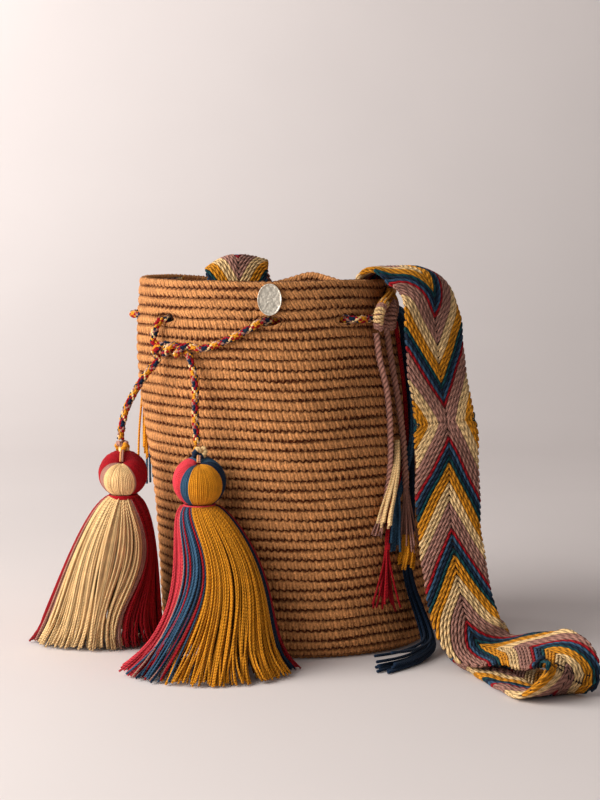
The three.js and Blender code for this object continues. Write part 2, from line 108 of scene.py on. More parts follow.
def dye(colours, yarns, strength=1.0):
    """Colour of a yarn, or of each of several yarns."""
    if isinstance(yarns, str):
        return np.array(tuple(getattr(colours, yarns))) * strength
    return np.array([tuple(getattr(colours, yarn)) for yarn in yarns]) * strength


# The wall of the bag: height, radius and lean of its stations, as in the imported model.
OUTLINE = np.array([
    [0.0, 0.116, 0.0], [0.105, 0.112, -0.008], [0.204, 0.112, -0.020], [0.255, 0.110, -0.026],
    [0.300, 0.106, -0.0287],
])
RADIUS = 1
LEAN = 2
BAG_HEIGHT = 0.3
BASE_RADIUS = 0.116
WALL = 0.005
CORNER = 0.014
# Four soft ridges up the wall, and the dips of its rim by azimuth, spread and depth.
RIDGES = 4
RIDGE = 0.002
RIDGE_AZIMUTH = -152
RIM_DIPS = ((97, 20, 0.010), (36, 24, 0.0095), (68, 9, -0.0035))


def blend(t, span, start, end, leave, arrive):
    """Point at a share of the way between two ends, left and reached at given slopes."""
    return ((2 * t**3 - 3 * t**2 + 1) * start + (t**3 - 2 * t**2 + t) * span * leave
            + (3 * t**2 - 2 * t**3) * end + (t**3 - t**2) * span * arrive)


def outline_at(height, column):
    """Radius or lean of the wall at a height, on a smooth curve through its stations."""
    heights = OUTLINE[:, 0]
    values = OUTLINE[:, column]
    last = len(heights) - 1
    before = np.maximum(np.arange(last + 1) - 1, 0)
    after = np.minimum(np.arange(last + 1) + 1, last)
    slopes = (values[after] - values[before]) / (heights[after] - heights[before])
    level = np.clip(height, 0, BAG_HEIGHT)
    i = np.clip(np.searchsorted(heights, level, side="right") - 1, 0, last - 1)
    rise = heights[i + 1] - heights[i]
    return blend((level - heights[i]) / rise, rise, values[i], values[i + 1], slopes[i], slopes[i + 1])


def wall_radius(azimuth, height):
    share = np.clip(height / BAG_HEIGHT, 0, 1)
    ridge = np.cos(RIDGES * np.radians(azimuth - RIDGE_AZIMUTH)) * np.sin(np.pi * share)
    return outline_at(height, RADIUS) + RIDGE * ridge


def sag_at(azimuth, height):
    """How far the rim's dips lower the wall."""
    sag = 0.0
    for middle, spread, depth in RIM_DIPS:
        turn = (azimuth - middle + 180) % 360 - 180
        sag = sag + depth * np.exp(-((turn / spread) ** 2))
    return sag * np.clip(height / BAG_HEIGHT, 0, 1) ** 4


def wall_point(azimuth, height, off=0.0):
    """Point on the outside of the wall, or standing off it."""
    azimuth = np.asarray(azimuth, float)
    height = np.asarray(height, float)
    reach = wall_radius(azimuth, height) + off
    angle = np.radians(azimuth)
    x = outline_at(height, LEAN) + reach * np.cos(angle)
    return np.stack(np.broadcast_arrays(x, reach * np.sin(angle), height - sag_at(azimuth, height)), axis=-1)


def keep_off_wall(points, gap):
    """Moves points straight out until they clear the wall."""
    moved = points.copy()
    centre = outline_at(points[..., 2], LEAN)
    away_x = points[..., 0] - centre
    away_y = points[..., 1]
    reach = np.hypot(away_x, away_y)
    least = wall_radius(np.degrees(np.arctan2(away_y, away_x)), points[..., 2]) + gap
    grow = np.where(reach < least, least / np.maximum(reach, 1e-6), 1.0)
    moved[..., 0] = centre + away_x * grow
    moved[..., 1] = away_y * grow
    return moved


def route(points):
    """Places of a route given as azimuth, height and distance from the wall."""
    return wall_point(*np.array(points, float).T[:3])


def smooth_curve(points, per_span, centripetal=True):
    """Catmull-Rom curve through points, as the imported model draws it."""
    points = np.asarray(points, float)
    whole = np.vstack([2 * points[0] - points[1], points, 2 * points[-1] - points[-2]])
    t = (np.arange(per_span) / per_span)[:, None]
    out = []
    for p0, p1, p2, p3 in zip(whole, whole[1:], whole[2:], whole[3:]):
        if centripetal:
            d1 = max(np.linalg.norm(p2 - p1), 1e-8) ** 0.5
            d0 = np.linalg.norm(p1 - p0) ** 0.5 or d1
            d2 = np.linalg.norm(p3 - p2) ** 0.5 or d1
            leave = ((p1 - p0) / d0 - (p2 - p0) / (d0 + d1) + (p2 - p1) / d1) * d1
            arrive = ((p2 - p1) / d1 - (p3 - p1) / (d1 + d2) + (p3 - p2) / d2) * d1
        else:
            leave = (p2 - p0) / 2
            arrive = (p3 - p1) / 2
        out.append(blend(t, 1, p1, p2, leave, arrive))
    return np.vstack([*out, points[-1:]])


def run_along(points):
    """Length along a line of points, up to each of them."""
    steps = np.linalg.norm(np.diff(points, axis=0), axis=1)
    return np.concatenate([[0], np.cumsum(steps)])


def looked_up(places, stations, values):
    """Rows of values at places between their stations."""
    return np.stack([np.interp(places, stations, column) for column in values.T], axis=-1)


def at_lengths(points, lengths):
    """Points of a line at given lengths along it."""
    return looked_up(lengths, run_along(points), points)


def even(points, count):
    return at_lengths(points, np.linspace(0, run_along(points)[-1], count))


def unit(vectors):
    return vectors / np.maximum(np.linalg.norm(vectors, axis=-1, keepdims=True), 1e-12)


def sides_along(paths):
    """Two steady side directions along each path of an array of paths."""
    tangent = unit(np.gradient(paths, axis=1))
    start = np.where(np.abs(tangent[:, :1, 2:]) < 0.9, [[[0.0, 0.0, 1.0]]], [[[1.0, 0.0, 0.0]]])[:, 0]
    side = np.empty_like(paths)
    side[:, 0] = unit(np.cross(start, tangent[:, 0]))
    for k in range(1, paths.shape[1]):
        ahead = tangent[:, k]
        side[:, k] = unit(side[:, k - 1] - ahead * np.sum(side[:, k - 1] * ahead, axis=1, keepdims=True))
    return side, np.cross(tangent, side)


def wound_round(line, runs, samples, reach, angle):
    """Points at an angle and a reach round a line, at lengths along it."""
    grid = np.linspace(0, run_along(line)[-1], samples)
    side, other = (looked_up(runs, grid, way[0]) for way in sides_along(at_lengths(line, grid)[None]))
    return at_lengths(line, runs) + reach * (np.cos(angle)[:, None] * side + np.sin(angle)[:, None] * other)


def grid_quads(grid, flip=False):
    """Quads between the rows of a grid of points whose columns close into a ring."""
    ahead = np.roll(grid, -1, axis=-1)
    ring = [grid[..., :-1, :], ahead[..., :-1, :], ahead[..., 1:, :], grid[..., 1:, :]]
    return np.stack(ring[::-1] if flip else ring, axis=-1)


def grid_corners(spot, step, flip=False):
    """Places on the yarn's map of the corners of those quads."""
    low = spot[..., :-1, :, :]
    high = spot[..., 1:, :, :]
    ring = [low, low + step, high + step, high]
    return np.stack(ring[::-1] if flip else ring, axis=-2)


def lay_mesh(name, points, loops, sizes, loop_uv=None, colours=None):
    """Mesh object at the origin from arrays of points and face corners."""
    mesh = bpy.data.meshes.new(name)
    mesh.vertices.add(len(points))
    mesh.vertices.foreach_set("co", np.ascontiguousarray(points, np.float32).ravel())
    mesh.loops.add(len(loops))
    mesh.loops.foreach_set("vertex_index", np.ascontiguousarray(loops, np.int32))
    mesh.polygons.add(len(sizes))
    starts = np.concatenate([[0], np.cumsum(sizes)[:-1]])
    mesh.polygons.foreach_set("loop_start", starts.astype(np.int32))
    mesh.update(calc_edges=True)
    if loop_uv is not None:
        layer = mesh.uv_layers.new(name="yarn_map")
        layer.data.foreach_set("uv", np.ascontiguousarray(loop_uv, np.float32).ravel())
    if colours is not None:
        layer = mesh.color_attributes.new(name="yarn_colour", type="FLOAT_COLOR", domain="POINT")
        rgba = np.ones((len(points), 4), np.float32)
        rgba[:, :3] = colours
        layer.data.foreach_set("color", rgba.ravel())
    mesh.validate()
    mesh.polygons.foreach_set("use_smooth", np.ones(len(mesh.polygons), bool))
    thing = bpy.data.objects.new(name, mesh)
    bpy.context.scene.collection.objects.link(thing)
    return thing


def settle(thing, finish, slot, *nodes):
    """Gives a piece its finish, lets it ride and take the place of its nodes; the slot argument is not used.
    """
    thing.data.materials.append(finish)
    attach(thing, "root")
    if nodes:
        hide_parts(*nodes)
    return thing


class Skein:
    """Collects yarn strands and lays them as one mesh."""

    def __init__(self):
        self.points = []
        self.loops = []
        self.sizes = []
        self.uv = []
        self.colours = []
        self.count = 0

    def add_rings(self, rings, spot, step, tint):
        """Closed tubes through rings of points, with places on the yarn's map and colours."""
        many, long, sides, _ = rings.shape
        index = self.count + np.arange(many * long * sides).reshape(many, long, sides)
        quads = grid_quads(index)
        caps = np.concatenate([index[:, 0, ::-1], index[:, -1]])
        self.points.append(rings.reshape(-1, 3))
        self.loops += [quads.reshape(-1), caps.reshape(-1)]
        self.sizes += [np.full(quads.size // 4, 4), np.full(len(caps), sides)]
        self.uv += [grid_corners(spot, step).reshape(-1, 2), np.zeros((caps.size, 2))]
        self.colours.append(np.broadcast_to(tint, rings.shape).reshape(-1, 3))
        self.count += index.size

    def add(self, paths, radius, colour, sides=6, plies=0, ply_depth=0.0, ply_pitch=0.01):
        """Strands along paths of equal point count, in one colour, or one for each strand or point."""
        paths = np.asarray(paths, float)
        if paths.ndim == 2:
            paths = paths[None]
        many, long, _ = paths.shape
        side, other = sides_along(paths)
        steps = np.linalg.norm(np.diff(paths, axis=1), axis=2)
        run = np.concatenate([np.zeros((many, 1)), np.cumsum(steps, axis=1)], axis=1)
        run = run + (np.arange(many) * 0.618 % 1 * 0.05)[:, None]
        theta = TURN * np.arange(sides) / sides
        reach = np.broadcast_to(np.asarray(radius, float), (many, long))[..., None]
        if plies:
            reach = reach * (1 + ply_depth * np.cos(plies * (theta - TURN * run[..., None] / ply_pitch)))
        rings = (paths[:, :, None] + side[:, :, None] * (reach * np.cos(theta))[..., None]
                 + other[:, :, None] * (reach * np.sin(theta))[..., None])
        spot = np.stack(np.broadcast_arrays(np.arange(sides) / sides, run[..., None]), axis=-1)
        tint = np.asarray(colour, float)
        if tint.ndim == 2:
            tint = tint[:, None]
        self.add_rings(rings, spot, (1 / sides, 0), tint[..., None, :])

    def piece(self, name, finish, slot, *nodes):
        thing = lay_mesh(name, np.vstack(self.points), np.concatenate(self.loops), np.concatenate(self.sizes),
                         np.vstack(self.uv), np.vstack(self.colours))
        return settle(thing, finish, slot, *nodes)


def maths_operator(operation, swapped=False):
    """Python operator of a wire that adds a Math node."""
    def run(wire, other):
        pair = (other, wire) if swapped else (wire, other)
        return wire.finish.maths(operation, *pair)
    return run


class Wire:
    """Output of a shader node. Python's operators on it add Math nodes."""

    __add__ = maths_operator("ADD")
    __radd__ = maths_operator("ADD", True)
    __sub__ = maths_operator("SUBTRACT")
    __rsub__ = maths_operator("SUBTRACT", True)
    __mul__ = maths_operator("MULTIPLY")
    __rmul__ = maths_operator("MULTIPLY", True)
    __pow__ = maths_operator("POWER")

    def __init__(self, finish, socket):
        self.finish = finish
        self.socket = socket


class Finish:
    """A node material under construction."""

    def __init__(self, name):
        self.material = bpy.data.materials.new(name)
        self.material.use_nodes = True
        self.tree = self.material.node_tree
        self.tree.nodes.clear()

    def node(self, kind, sockets=None, output=0, **settings):
        """Adds a node: its settings first, then the values or links of its sockets."""
        made = self.tree.nodes.new(kind)
        for key, value in settings.items():
            setattr(made, key, value)
        for key, value in (sockets or {}).items():
            wanted = made.inputs[key]
            if isinstance(value, Wire):
                self.tree.links.new(value.socket, wanted)
            else:
                wanted.default_value = (*value, 1.0) if wanted.type == "RGBA" else value
        return Wire(self, made.outputs[output]) if made.outputs else None

    def maths(self, operation, first, second=0.0):
        return self.node("ShaderNodeMath", {0: first, 1: second}, operation=operation)

    def place(self):
        return self.node("ShaderNodeTexCoord", output="Object")

    def split(self, vector):
        """First two parts of a vector."""
        outputs = self.node("ShaderNodeSeparateXYZ", {0: vector}).socket.node.outputs
        return Wire(self, outputs[0]), Wire(self, outputs[1])

    def yarn_map(self):
        return self.split(self.node("ShaderNodeUVMap", uv_map="yarn_map"))

    def noise(self, vector, scale, detail=2.0, roughness=0.5):
        return self.node("ShaderNodeTexNoise", {
            "Vector": vector, "Scale": scale, "Detail": detail, "Roughness": roughness})

    def between(self, value, low, high, out_low=0.0, out_high=1.0):
        return self.node("ShaderNodeMapRange", {
            "Value": value, "From Min": low, "From Max": high, "To Min": out_low, "To Max": out_high})

    def mix(self, amount, first, second):
        return self.node("ShaderNodeMix", {0: amount, 6: first, 7: second}, 2, data_type="RGBA")

    def shade(self, colour, amount):
        """Colour made darker or lighter by a value."""
        grey = self.node("ShaderNodeCombineXYZ", {0: amount, 1: amount, 2: amount})
        return self.node("ShaderNodeVectorMath", {0: colour, 1: grey}, operation="MULTIPLY")

    def surface(self, colour, roughness, height=None, depth=0.0, sheen=0.0, metallic=0.0):
        sockets = {"Base Color": colour, "Roughness": roughness, "Metallic": metallic}
        sockets["Specular IOR Level"] = 0.5 if metallic else 0.08
        if sheen:
            sockets["Sheen Weight"] = sheen
            sockets["Sheen Roughness"] = 0.6
        if height is not None:
            sockets["Normal"] = self.node("ShaderNodeBump", {
                "Strength": 1.0, "Distance": depth, "Height": height})
        self.node("ShaderNodeOutputMaterial", {"Surface": self.node("ShaderNodeBsdfPrincipled", sockets)})
        return self.material


def plied_finish(name, pitch, depth, ply_shade, fuzz, plies=2):
    """Spun yarn coloured by its own attribute, with twisted plies and fine fibres, and painted shade in the
    grooves between the plies.
    """
    finish = Finish(name)
    around, along = finish.yarn_map()
    place = finish.place()
    wave = finish.maths("SINE", (around * plies - along * (plies / pitch)) * TURN)
    ply = finish.between(wave, -1.0, 1.0) ** 0.6
    fibres = finish.noise(place, 1500.0, 3.0, 0.7)
    patches = finish.noise(place, 160.0)
    hue = finish.node("ShaderNodeAttribute", output="Color", attribute_name="yarn_colour")
    # Painted shade: each yarn darkens towards the grooves between its plies.
    tone = finish.between(ply, 0.0, 1.0, 1.0 - ply_shade, 1.08)
    tone = tone * finish.between(patches, 0.25, 0.75, 0.84, 1.14)
    tone = tone * finish.between(fibres, 0.2, 0.8, 1.0 - 0.36 * fuzz, 1.0 + 0.3 * fuzz)
    roughness = finish.between(fibres, 0.2, 0.8, 0.95, 0.78)
    return finish.surface(finish.shade(hue, tone), roughness, ply + fibres * fuzz, depth, 0.04)


# Lean of the stitches, and of those in the last rows below the rim.
SLANT = 0.12
RIM_SLANT = 0.85
RIM_ROWS = 5


def crochet_finish(name, colours):
    """Tan cotton whose stitches, grooves and fibres follow the rows of the wall, with painted shade in the
    grooves between rows and in the gaps between the stitches' legs.
    """
    finish = Finish(name)
    stitch, row = finish.yarn_map()
    place = finish.place()
    lumps = finish.noise(place, 400.0, 3.0, 0.6)
    fibres = finish.noise(place, 850.0, 4.0, 0.75)
    patches = finish.noise(place, 26.0)
    level = finish.maths("FRACT", row)
    slant = finish.between(row, 34.4, 35.1, SLANT, RIM_SLANT)
    across = stitch + slant * (level - 0.5) + (lumps - 0.5) * 0.8
    off = finish.maths("ABSOLUTE", finish.maths("FRACT", across) - 0.5)
    leg = finish.between(finish.maths("ABSOLUTE", off - (level * 0.16 + 0.16)), 0.06, 0.27, 1.0, 0.0)
    # Painted shade deep in the groove between two rows.
    groove_shade = finish.between(finish.maths("ABSOLUTE", level + (lumps - 0.5) * 0.3 - 0.54), 0.22, 0.5) ** 1.4
    cell = finish.node("ShaderNodeCombineXYZ", {
        0: finish.maths("FLOOR", across), 1: finish.maths("FLOOR", row),
        2: finish.maths("GREATER_THAN", off, 0.25)})
    luck = finish.node("ShaderNodeTexWhiteNoise", {"Vector": cell})
    tone = finish.between(lumps, 0.32, 0.68, 0.76, 1.22) * finish.between(fibres, 0.3, 0.7, 0.7, 1.28)
    tone = tone * finish.between(patches, 0.3, 0.7, 0.94, 1.06) * finish.between(luck, 0.0, 1.0, 0.86, 1.1)
    # Painted shade in the gaps between a stitch's legs, stronger low in the row.
    gap = (1.0 - leg) * finish.between(level, 0.05, 0.8, 0.98, 0.2)
    # Both painted shades mix the groove shade colour into the tan.
    dark = finish.maths("MINIMUM", groove_shade + gap, 1.0)
    colour = finish.shade(finish.mix(dark, tuple(colours.tan), tuple(colours.groove_shade)), tone)
    height = leg * 0.7 + fibres * 0.9 + lumps * 0.9 + luck * 0.3
    return finish.surface(colour, finish.between(fibres, 0.2, 0.8, 0.98, 0.85), height, 0.0011, 0.03)


# Eyelets and slits of the wall: azimuth, height, half width and half height.
EYELET_LEVEL = 0.2685
FIRST_EYELET = -89.0
PAIRS = 6
INSIDE_SPAN = 35.2
OUTSIDE_SPAN = 20.0
EYELETS = [FIRST_EYELET + pair * (INSIDE_SPAN + OUTSIDE_SPAN) + step
           for pair in range(PAIRS) for step in (0.0, INSIDE_SPAN)]
OPENINGS = ([(azimuth, EYELET_LEVEL, 0.0078, 0.003) for azimuth in EYELETS]
            + [(azimuth, 0.2875, 0.0056, 0.0036) for azimuth in (-22.0, 155.0)])
# How far a hole pushes the stitches round it aside, as a share of its own size.
PUSHED = 2.2
# Heights of a row's points as shares of it, points across a stitch, and turn of the rim's rounding.
LEVELS = (0.0, 0.07, 0.26, 0.5, 0.74, 0.93)
STITCH_COLUMNS = 5
RIM_BEND = 1.4
# Rows from the eyelets up, whose inside is worked as finely as their outside.
TOP_ROWS = 9


def wall_profile(run, inside):
    """Reach and height of the wall's section, and its outward direction, at a run from the base."""
    arc = CORNER * math.pi / 2
    rise = BAG_HEIGHT - WALL / 2 - CORNER
    half = WALL / 2
    size = CORNER - WALL if inside else CORNER
    flat = BASE_RADIUS - WALL if inside else BASE_RADIUS
    way = -1.0 if inside else 1.0
    turn = np.clip(run / CORNER, 0, math.pi / 2) - math.pi / 2
    bend = np.clip((run - arc - rise) / half, 0, RIM_BEND)
    low = run < arc
    over = run > arc + rise
    reach = np.where(low, BASE_RADIUS - CORNER + size * np.cos(turn), flat)
    height = np.where(low, CORNER + size * np.sin(turn), CORNER + np.clip(run - arc, 0, rise))
    reach = np.where(over, BASE_RADIUS - half + way * half * np.cos(bend), reach)
    height = np.where(over, BAG_HEIGHT - half + half * np.sin(bend), height)
    out_reach = np.where(over, way * np.cos(bend), way * np.where(low, np.cos(turn), 1.0))
    out_height = np.where(over, np.sin(bend), way * np.where(low, np.sin(turn), 0.0))
    return reach, height, out_reach, out_height


def open_holes(points, azimuth, wide):
    """Pushes the wall's points aside round its openings, and tells how near each is to one."""
    where, level, half_wide, half_tall = np.array(OPENINGS).T
    along = np.radians((azimuth[..., None] - where + 180) % 360 - 180) * wide[..., None]
    up = points[..., 2:3] - level + sag_at(where, level)
    a = along / half_wide
    b = up / half_tall
    far = np.sqrt(a * a + b * b)
    pick = np.arange(far.shape[0])[:, None], np.arange(far.shape[1])[None], np.argmin(far, axis=-1)
    close = far[pick]
    grow = np.where(close < PUSHED, (1 + close * ((PUSHED - 1) / PUSHED)) / np.maximum(close, 0.05), 1.0)
    shift = along[pick] * (grow - 1)
    turn = np.radians(azimuth)
    points[..., 0] -= np.sin(turn) * shift
    points[..., 1] += np.cos(turn) * shift
    points[..., 2] += up[pick] * (grow - 1)
    return points, close


def row_crest(level):
    """Rounding of a row between its two grooves."""
    return np.sqrt(np.maximum(1 - np.abs(2 * level - 1) ** 2.3, 0))


def wall_band(name, sizes, first_row, last_row, fine_inside):
    """Closed ring of crocheted rows between two grooves of the wall."""
    chance = np.random.default_rng(7)
    columns = STITCH_COLUMNS * sizes.stitches
    full_run = CORNER * math.pi / 2 + (BAG_HEIGHT - WALL / 2 - CORNER) + WALL / 2 * RIM_BEND
    rows = [(row, level) for row in range(first_row, last_row) for level in LEVELS] + [(last_row, 0.0)]
    row, level = np.array(rows, float).T[..., None]
    up = row + level
    azimuth = (360 * np.arange(columns) / columns)[None]
    turn = np.radians(azimuth)
    jitter = chance.uniform(-0.5, 0.5, sizes.rows + 1)[row.astype(int)]
    slant = np.where(row > sizes.rows - RIM_ROWS, RIM_SLANT, SLANT)
    count = azimuth / 360 * sizes.stitches
    phase = count + jitter + slant * (level - 0.5)
    which = np.floor(phase).astype(int) % sizes.stitches
    plump = chance.uniform(0.62, 1.15, (sizes.rows + 1, sizes.stitches))[row.astype(int), which]
    stitch = np.abs(np.sin(np.pi * phase)) ** 0.75
    crest = row_crest(level)
    wander = sum(0.00045 * np.sin(k * turn + chance.uniform(0, TURN)) for k in (2, 3, 5, 7))
    row_wave = sum(0.00035 * np.sin(k * turn + 1.7 * k * up) for k in (3, 8, 13))
    dent = 0.0009 * np.sin(3 * turn + 0.16 * up + 1) + 0.0007 * np.sin(7 * turn - 0.3 * up)
    run = up * (full_run / sizes.rows) + np.clip(up / 3, 0, 1) * (wander + row_wave)
    run = run + 0.0008 * np.sin(TURN * (count + jitter)) * (np.abs(level - 0.5) > 0.4)
    run = np.clip(run, 0, full_run)
    depth = sizes.row_depth

    def sheet(inside, swell):
        reach, height, out_reach, out_height = wall_profile(run, inside)
        reach = reach + swell * out_reach
        height = height + swell * out_height
        wide = reach + (wall_radius(azimuth, height) - BASE_RADIUS) * reach / BASE_RADIUS
        if not inside:
            wide = wide + dent * np.clip(up / 4, 0, 1)
        points = np.stack([outline_at(height, LEAN) + wide * np.cos(turn), wide * np.sin(turn),
                           height - sag_at(azimuth, height)], axis=-1)
        return open_holes(points, azimuth, wide)

    outer, close = sheet(False, -depth * 0.62 + depth * crest * (0.56 + 0.44 * stitch * plump))
    inner, _ = sheet(True, -depth * 0.4 + depth * 0.8 * crest * (0.75 + 0.25 * stitch))
    inner_rows = np.flatnonzero(np.ones(len(rows), bool) if fine_inside else level[:, 0] == 0)
    points = np.vstack([outer.reshape(-1, 3), inner[inner_rows].reshape(-1, 3)])
    out_index = np.arange(len(rows) * columns).reshape(-1, columns)
    in_index = out_index.size + np.arange(len(inner_rows) * columns).reshape(-1, columns)
    spot = np.stack([(count + jitter) + 0 * level, up + 0 * azimuth], -1)
    step = (1 / STITCH_COLUMNS, 0)
    quads = [grid_quads(out_index), grid_quads(in_index, True)]
    corners = [grid_corners(spot, step), grid_corners(spot[inner_rows], step, True)]
    kept = slice(None)
    bridges = []
    if fine_inside:
        ahead = np.roll(close, -1, 1)
        gone = (close[:-1] + ahead[:-1] + close[1:] + ahead[1:]) / 4 < 0.5
        kept = ~gone
        for j, i in zip(*np.nonzero(gone)):
            after = (i + 1) % columns
            around = (j, i), (j, after), (j + 1, after), (j + 1, i)
            beyond = (j - 1, i), (j, after), (j + 1, i), (j, i - 1)
            for start, end, spread in zip(around, around[1:] + around[:1], beyond):
                if not gone[spread]:
                    bridges.append([out_index[start], out_index[end], in_index[end], in_index[start]])
    edges = [np.stack([near, np.roll(near, -1), np.roll(far, -1), far], -1)
             for near, far in ((in_index[0], out_index[0]), (out_index[-1], in_index[-1]))]
    seams = np.vstack([np.array(bridges, int).reshape(-1, 4), *edges])
    loops = np.vstack([*(q[kept].reshape(-1, 4) for q in quads), seams])
    uv = np.vstack([*(c[kept].reshape(-1, 2) for c in corners), np.zeros((seams.size, 2))])
    return lay_mesh(name, points, loops.ravel(), np.full(len(loops), 4), uv)


def crochet_base(name):
    """Round base, a closed disc of rows worked round its middle."""
    columns = 128
    rings = 13
    tall = (BASE_RADIUS - CORNER + 0.0012) / rings
    levels = [(ring, level) for ring in range(rings) for level in (0.0, 0.25, 0.75)] + [(rings - 1, 1.0)]
    ring, level = np.array(levels[1:], float).T[..., None]
    turn = (TURN * np.arange(columns) / columns)[None]
    stitches = np.round(6 * (ring + 1))
    stitch = np.abs(np.sin(stitches * turn / 2 + ring)) ** 0.7
    reach = (ring + level) * tall + 0 * turn
    bulge = 0.0014 * row_crest(level) * (0.6 + 0.4 * stitch)
    sheets = [np.stack([reach * np.cos(turn), reach * np.sin(turn), height], -1).reshape(-1, 3)
              for height in (0.0016 - bulge, 0.0038 + bulge)]
    low = np.arange(reach.size).reshape(reach.shape)
    high = reach.size + low
    spot = np.stack([stitches * turn / TURN, ring + level + 0 * turn], -1)
    step = np.stack([stitches[1:] / columns + 0 * turn, 0 * spot[1:, :, 0]], -1)
    edge = np.stack([low[-1], np.roll(low[-1], -1), np.roll(high[-1], -1), high[-1]], -1)
    quads = np.vstack([grid_quads(low).reshape(-1, 4), grid_quads(high, True).reshape(-1, 4), edge])
    uv = np.vstack([grid_corners(spot, step).reshape(-1, 2), grid_corners(spot, step, True).reshape(-1, 2),
                    np.zeros((edge.size + 2 * columns, 2))])
    loops = np.concatenate([quads.ravel(), low[0][::-1], high[0]])
    return lay_mesh(name, np.vstack(sheets), loops, np.array([4] * len(quads) + [columns] * 2), uv)


class BAG_OT_wall(bpy.types.Operator):
    """Crochets the wall in three bands and the round base"""

    bl_idname = "bag.wall"
    bl_label = "Crocheted Wall"

    def execute(self, context):
        sizes = context.scene.bag_sizes
        cotton = crochet_finish("crocheted_cotton", context.scene.yarn_colours)
        middle = sizes.rows - TOP_ROWS
        low = middle // 2
        for piece in (wall_band("crochet_lower_rows", sizes, 0, low, False),
                      wall_band("crochet_middle_rows", sizes, low, middle, False),
                      wall_band("crochet_upper_rows", sizes, middle, sizes.rows, True),
                      crochet_base("crochet_base")):
            settle(piece, cotton, "crochet_cotton", "bag_body")
        return {"FINISHED"}


# The strap: azimuth, height and distance from the wall of its middle, then the turn and rise of its width.
STRAP_STATIONS = (
    (-25, 0.277, -0.0124, 65, 0), (-25, 0.289, -0.0124, 65, 0), (-25, 0.299, -0.0114, 65, 0),
    (-25, 0.3064, -0.004, 64, 0), (-25.5, 0.3078, 0.008, 62, 0), (-26, 0.3072, 0.022, 59, 0),
    (-26.5, 0.3025, 0.035, 53, 0), (-27, 0.29, 0.043, 44, 0), (-27.5, 0.268, 0.0435, 32, 0),
    (-28.3, 0.225, 0.042, 27, 0), (-30, 0.178, 0.045, 19, 0), (-36, 0.112, 0.047, 16, 0),
    (-40.5, 0.079, 0.0555, 16, 0), (-43.9, 0.05, 0.0662, 16, 0), (-46.2, 0.032, 0.0775, 14, 7),
    (-46.2, 0.021, 0.086, 20, 12), (-45.8, 0.0175, 0.097, 34, 14), (-45.3, 0.0185, 0.109, 53, 13),
    (-45.4, 0.022, 0.122, 69, 8), (-46.3, 0.026, 0.14, 75, 8), (-47.7, 0.0285, 0.161, 70, 15),
    (-49.2, 0.027, 0.1815, 55, 16), (-50.6, 0.02, 0.1935, 41, 4), (-51.6, 0.0125, 0.1915, 34, -1),
    (-52.2, 0.0044, 0.181, 26, 0), (-50.2, 0.0032, 0.154, 18, 0), (-47, 0.003, 0.1215, 18, 0),
    (-40, 0.003, 0.0765, 14, 0), (-28, 0.003, 0.049, 7, 0), (-14, 0.003, 0.0365, 2, 0),
    (2, 0.003, 0.032, 6, 0), (18, 0.0036, 0.0315, 20, -2), (33, 0.0135, 0.0295, 38, -20),
    (47, 0.03, 0.02, 88, -48), (60, 0.062, 0.01, 143, -33), (72, 0.112, 0.0075, 162, -24),
    (84, 0.175, 0.0075, 174, -20), (94, 0.235, 0.009, 184, -14), (101, 0.28, 0.0105, 191, -6),
    (104, 0.303, 0.0095, 194, 0), (105, 0.314, 0, 195, 0), (106, 0.31, -0.012, 195, 0),
    (107, 0.294, -0.0195, 194, 0), (108, 0.27, -0.023, 186, 0), (111.5, 0.24, -0.028, 168, 0),
    (119, 0.218, -0.036, 146, 0), (131, 0.21, -0.039, 128, 0), (143, 0.218, -0.037, 106, 0),
    (151, 0.238, -0.029, 84, 0), (154.5, 0.258, -0.022, 69, 0), (155, 0.273, -0.019, 65, 0),
    (155, 0.284, -0.0132, 65, 0), (155, 0.297, -0.0124, 65, 0),
)
# Half of the strap's width, and the lengths along it at which its chevrons turn round.
STRAP_HALF = 0.027
STRAP_FLIP = 0.1945
STRAP_TURN_BACK = 0.79
# Zones of the strap in which its chevrons point one way: from, to, way, and the red apexes by their count.
CHEVRON_ZONES = (
    (0.0006, STRAP_FLIP, -1, ((-1, 0.256), (0, 0.182), (1, 0.110), (2, 0.036), (3, -0.038), (4, -0.112))),
    (STRAP_FLIP, STRAP_TURN_BACK, 1,
     ((-1, 0.133), (0, 0.207), (1, 0.281), (2, 0.359), (3, 0.434), (9, 0.884))),
    (STRAP_TURN_BACK, 1.449, -1, ((-4, 1.5275), (0, 1.2235), (7, 0.6915))),
)
ROPE_YARNS = ("crimson", "blue", "navy", "teal", *["mustard"] * 3, *["cream"] * 3, *["mauve"] * 4)
SIDE_YARNS = (*["mauve"] * 3, *["cream"] * 3, *["mustard"] * 3)
ROPE_RADIUS = 0.00127
# Heights of a rope over the strap's middle layer, at distances from its middle line.
ROPE_PLACES = (0, 0.0012, 0.003, 0.0236, 0.0258, 0.027)
ROPE_HEIGHTS = (0.0002, 0.0008, 0.00122, 0.00122, 0.0008, 0.0)
# Lengths along the strap, and how far there both edges bend back, one edge lifts and the other drapes.
EDGE_BOW = ((0.03, 0.07, 0.12, 0.25, 0.33, 0.36, 1.16, 1.2, 1.235, 1.27),
            (0.0, 0.002, 0.003, 0.003, 0.002, 0.0, 0.0, -0.006, -0.006, 0.0))
EDGE_LIFT = ((1.17, 1.2, 1.24, 1.27), (0, 0.007, 0.007, 0))
EDGE_DRAPE = ((0.042, 0.057, 0.08, 0.105), (0, 0.01, 0.009, 0))


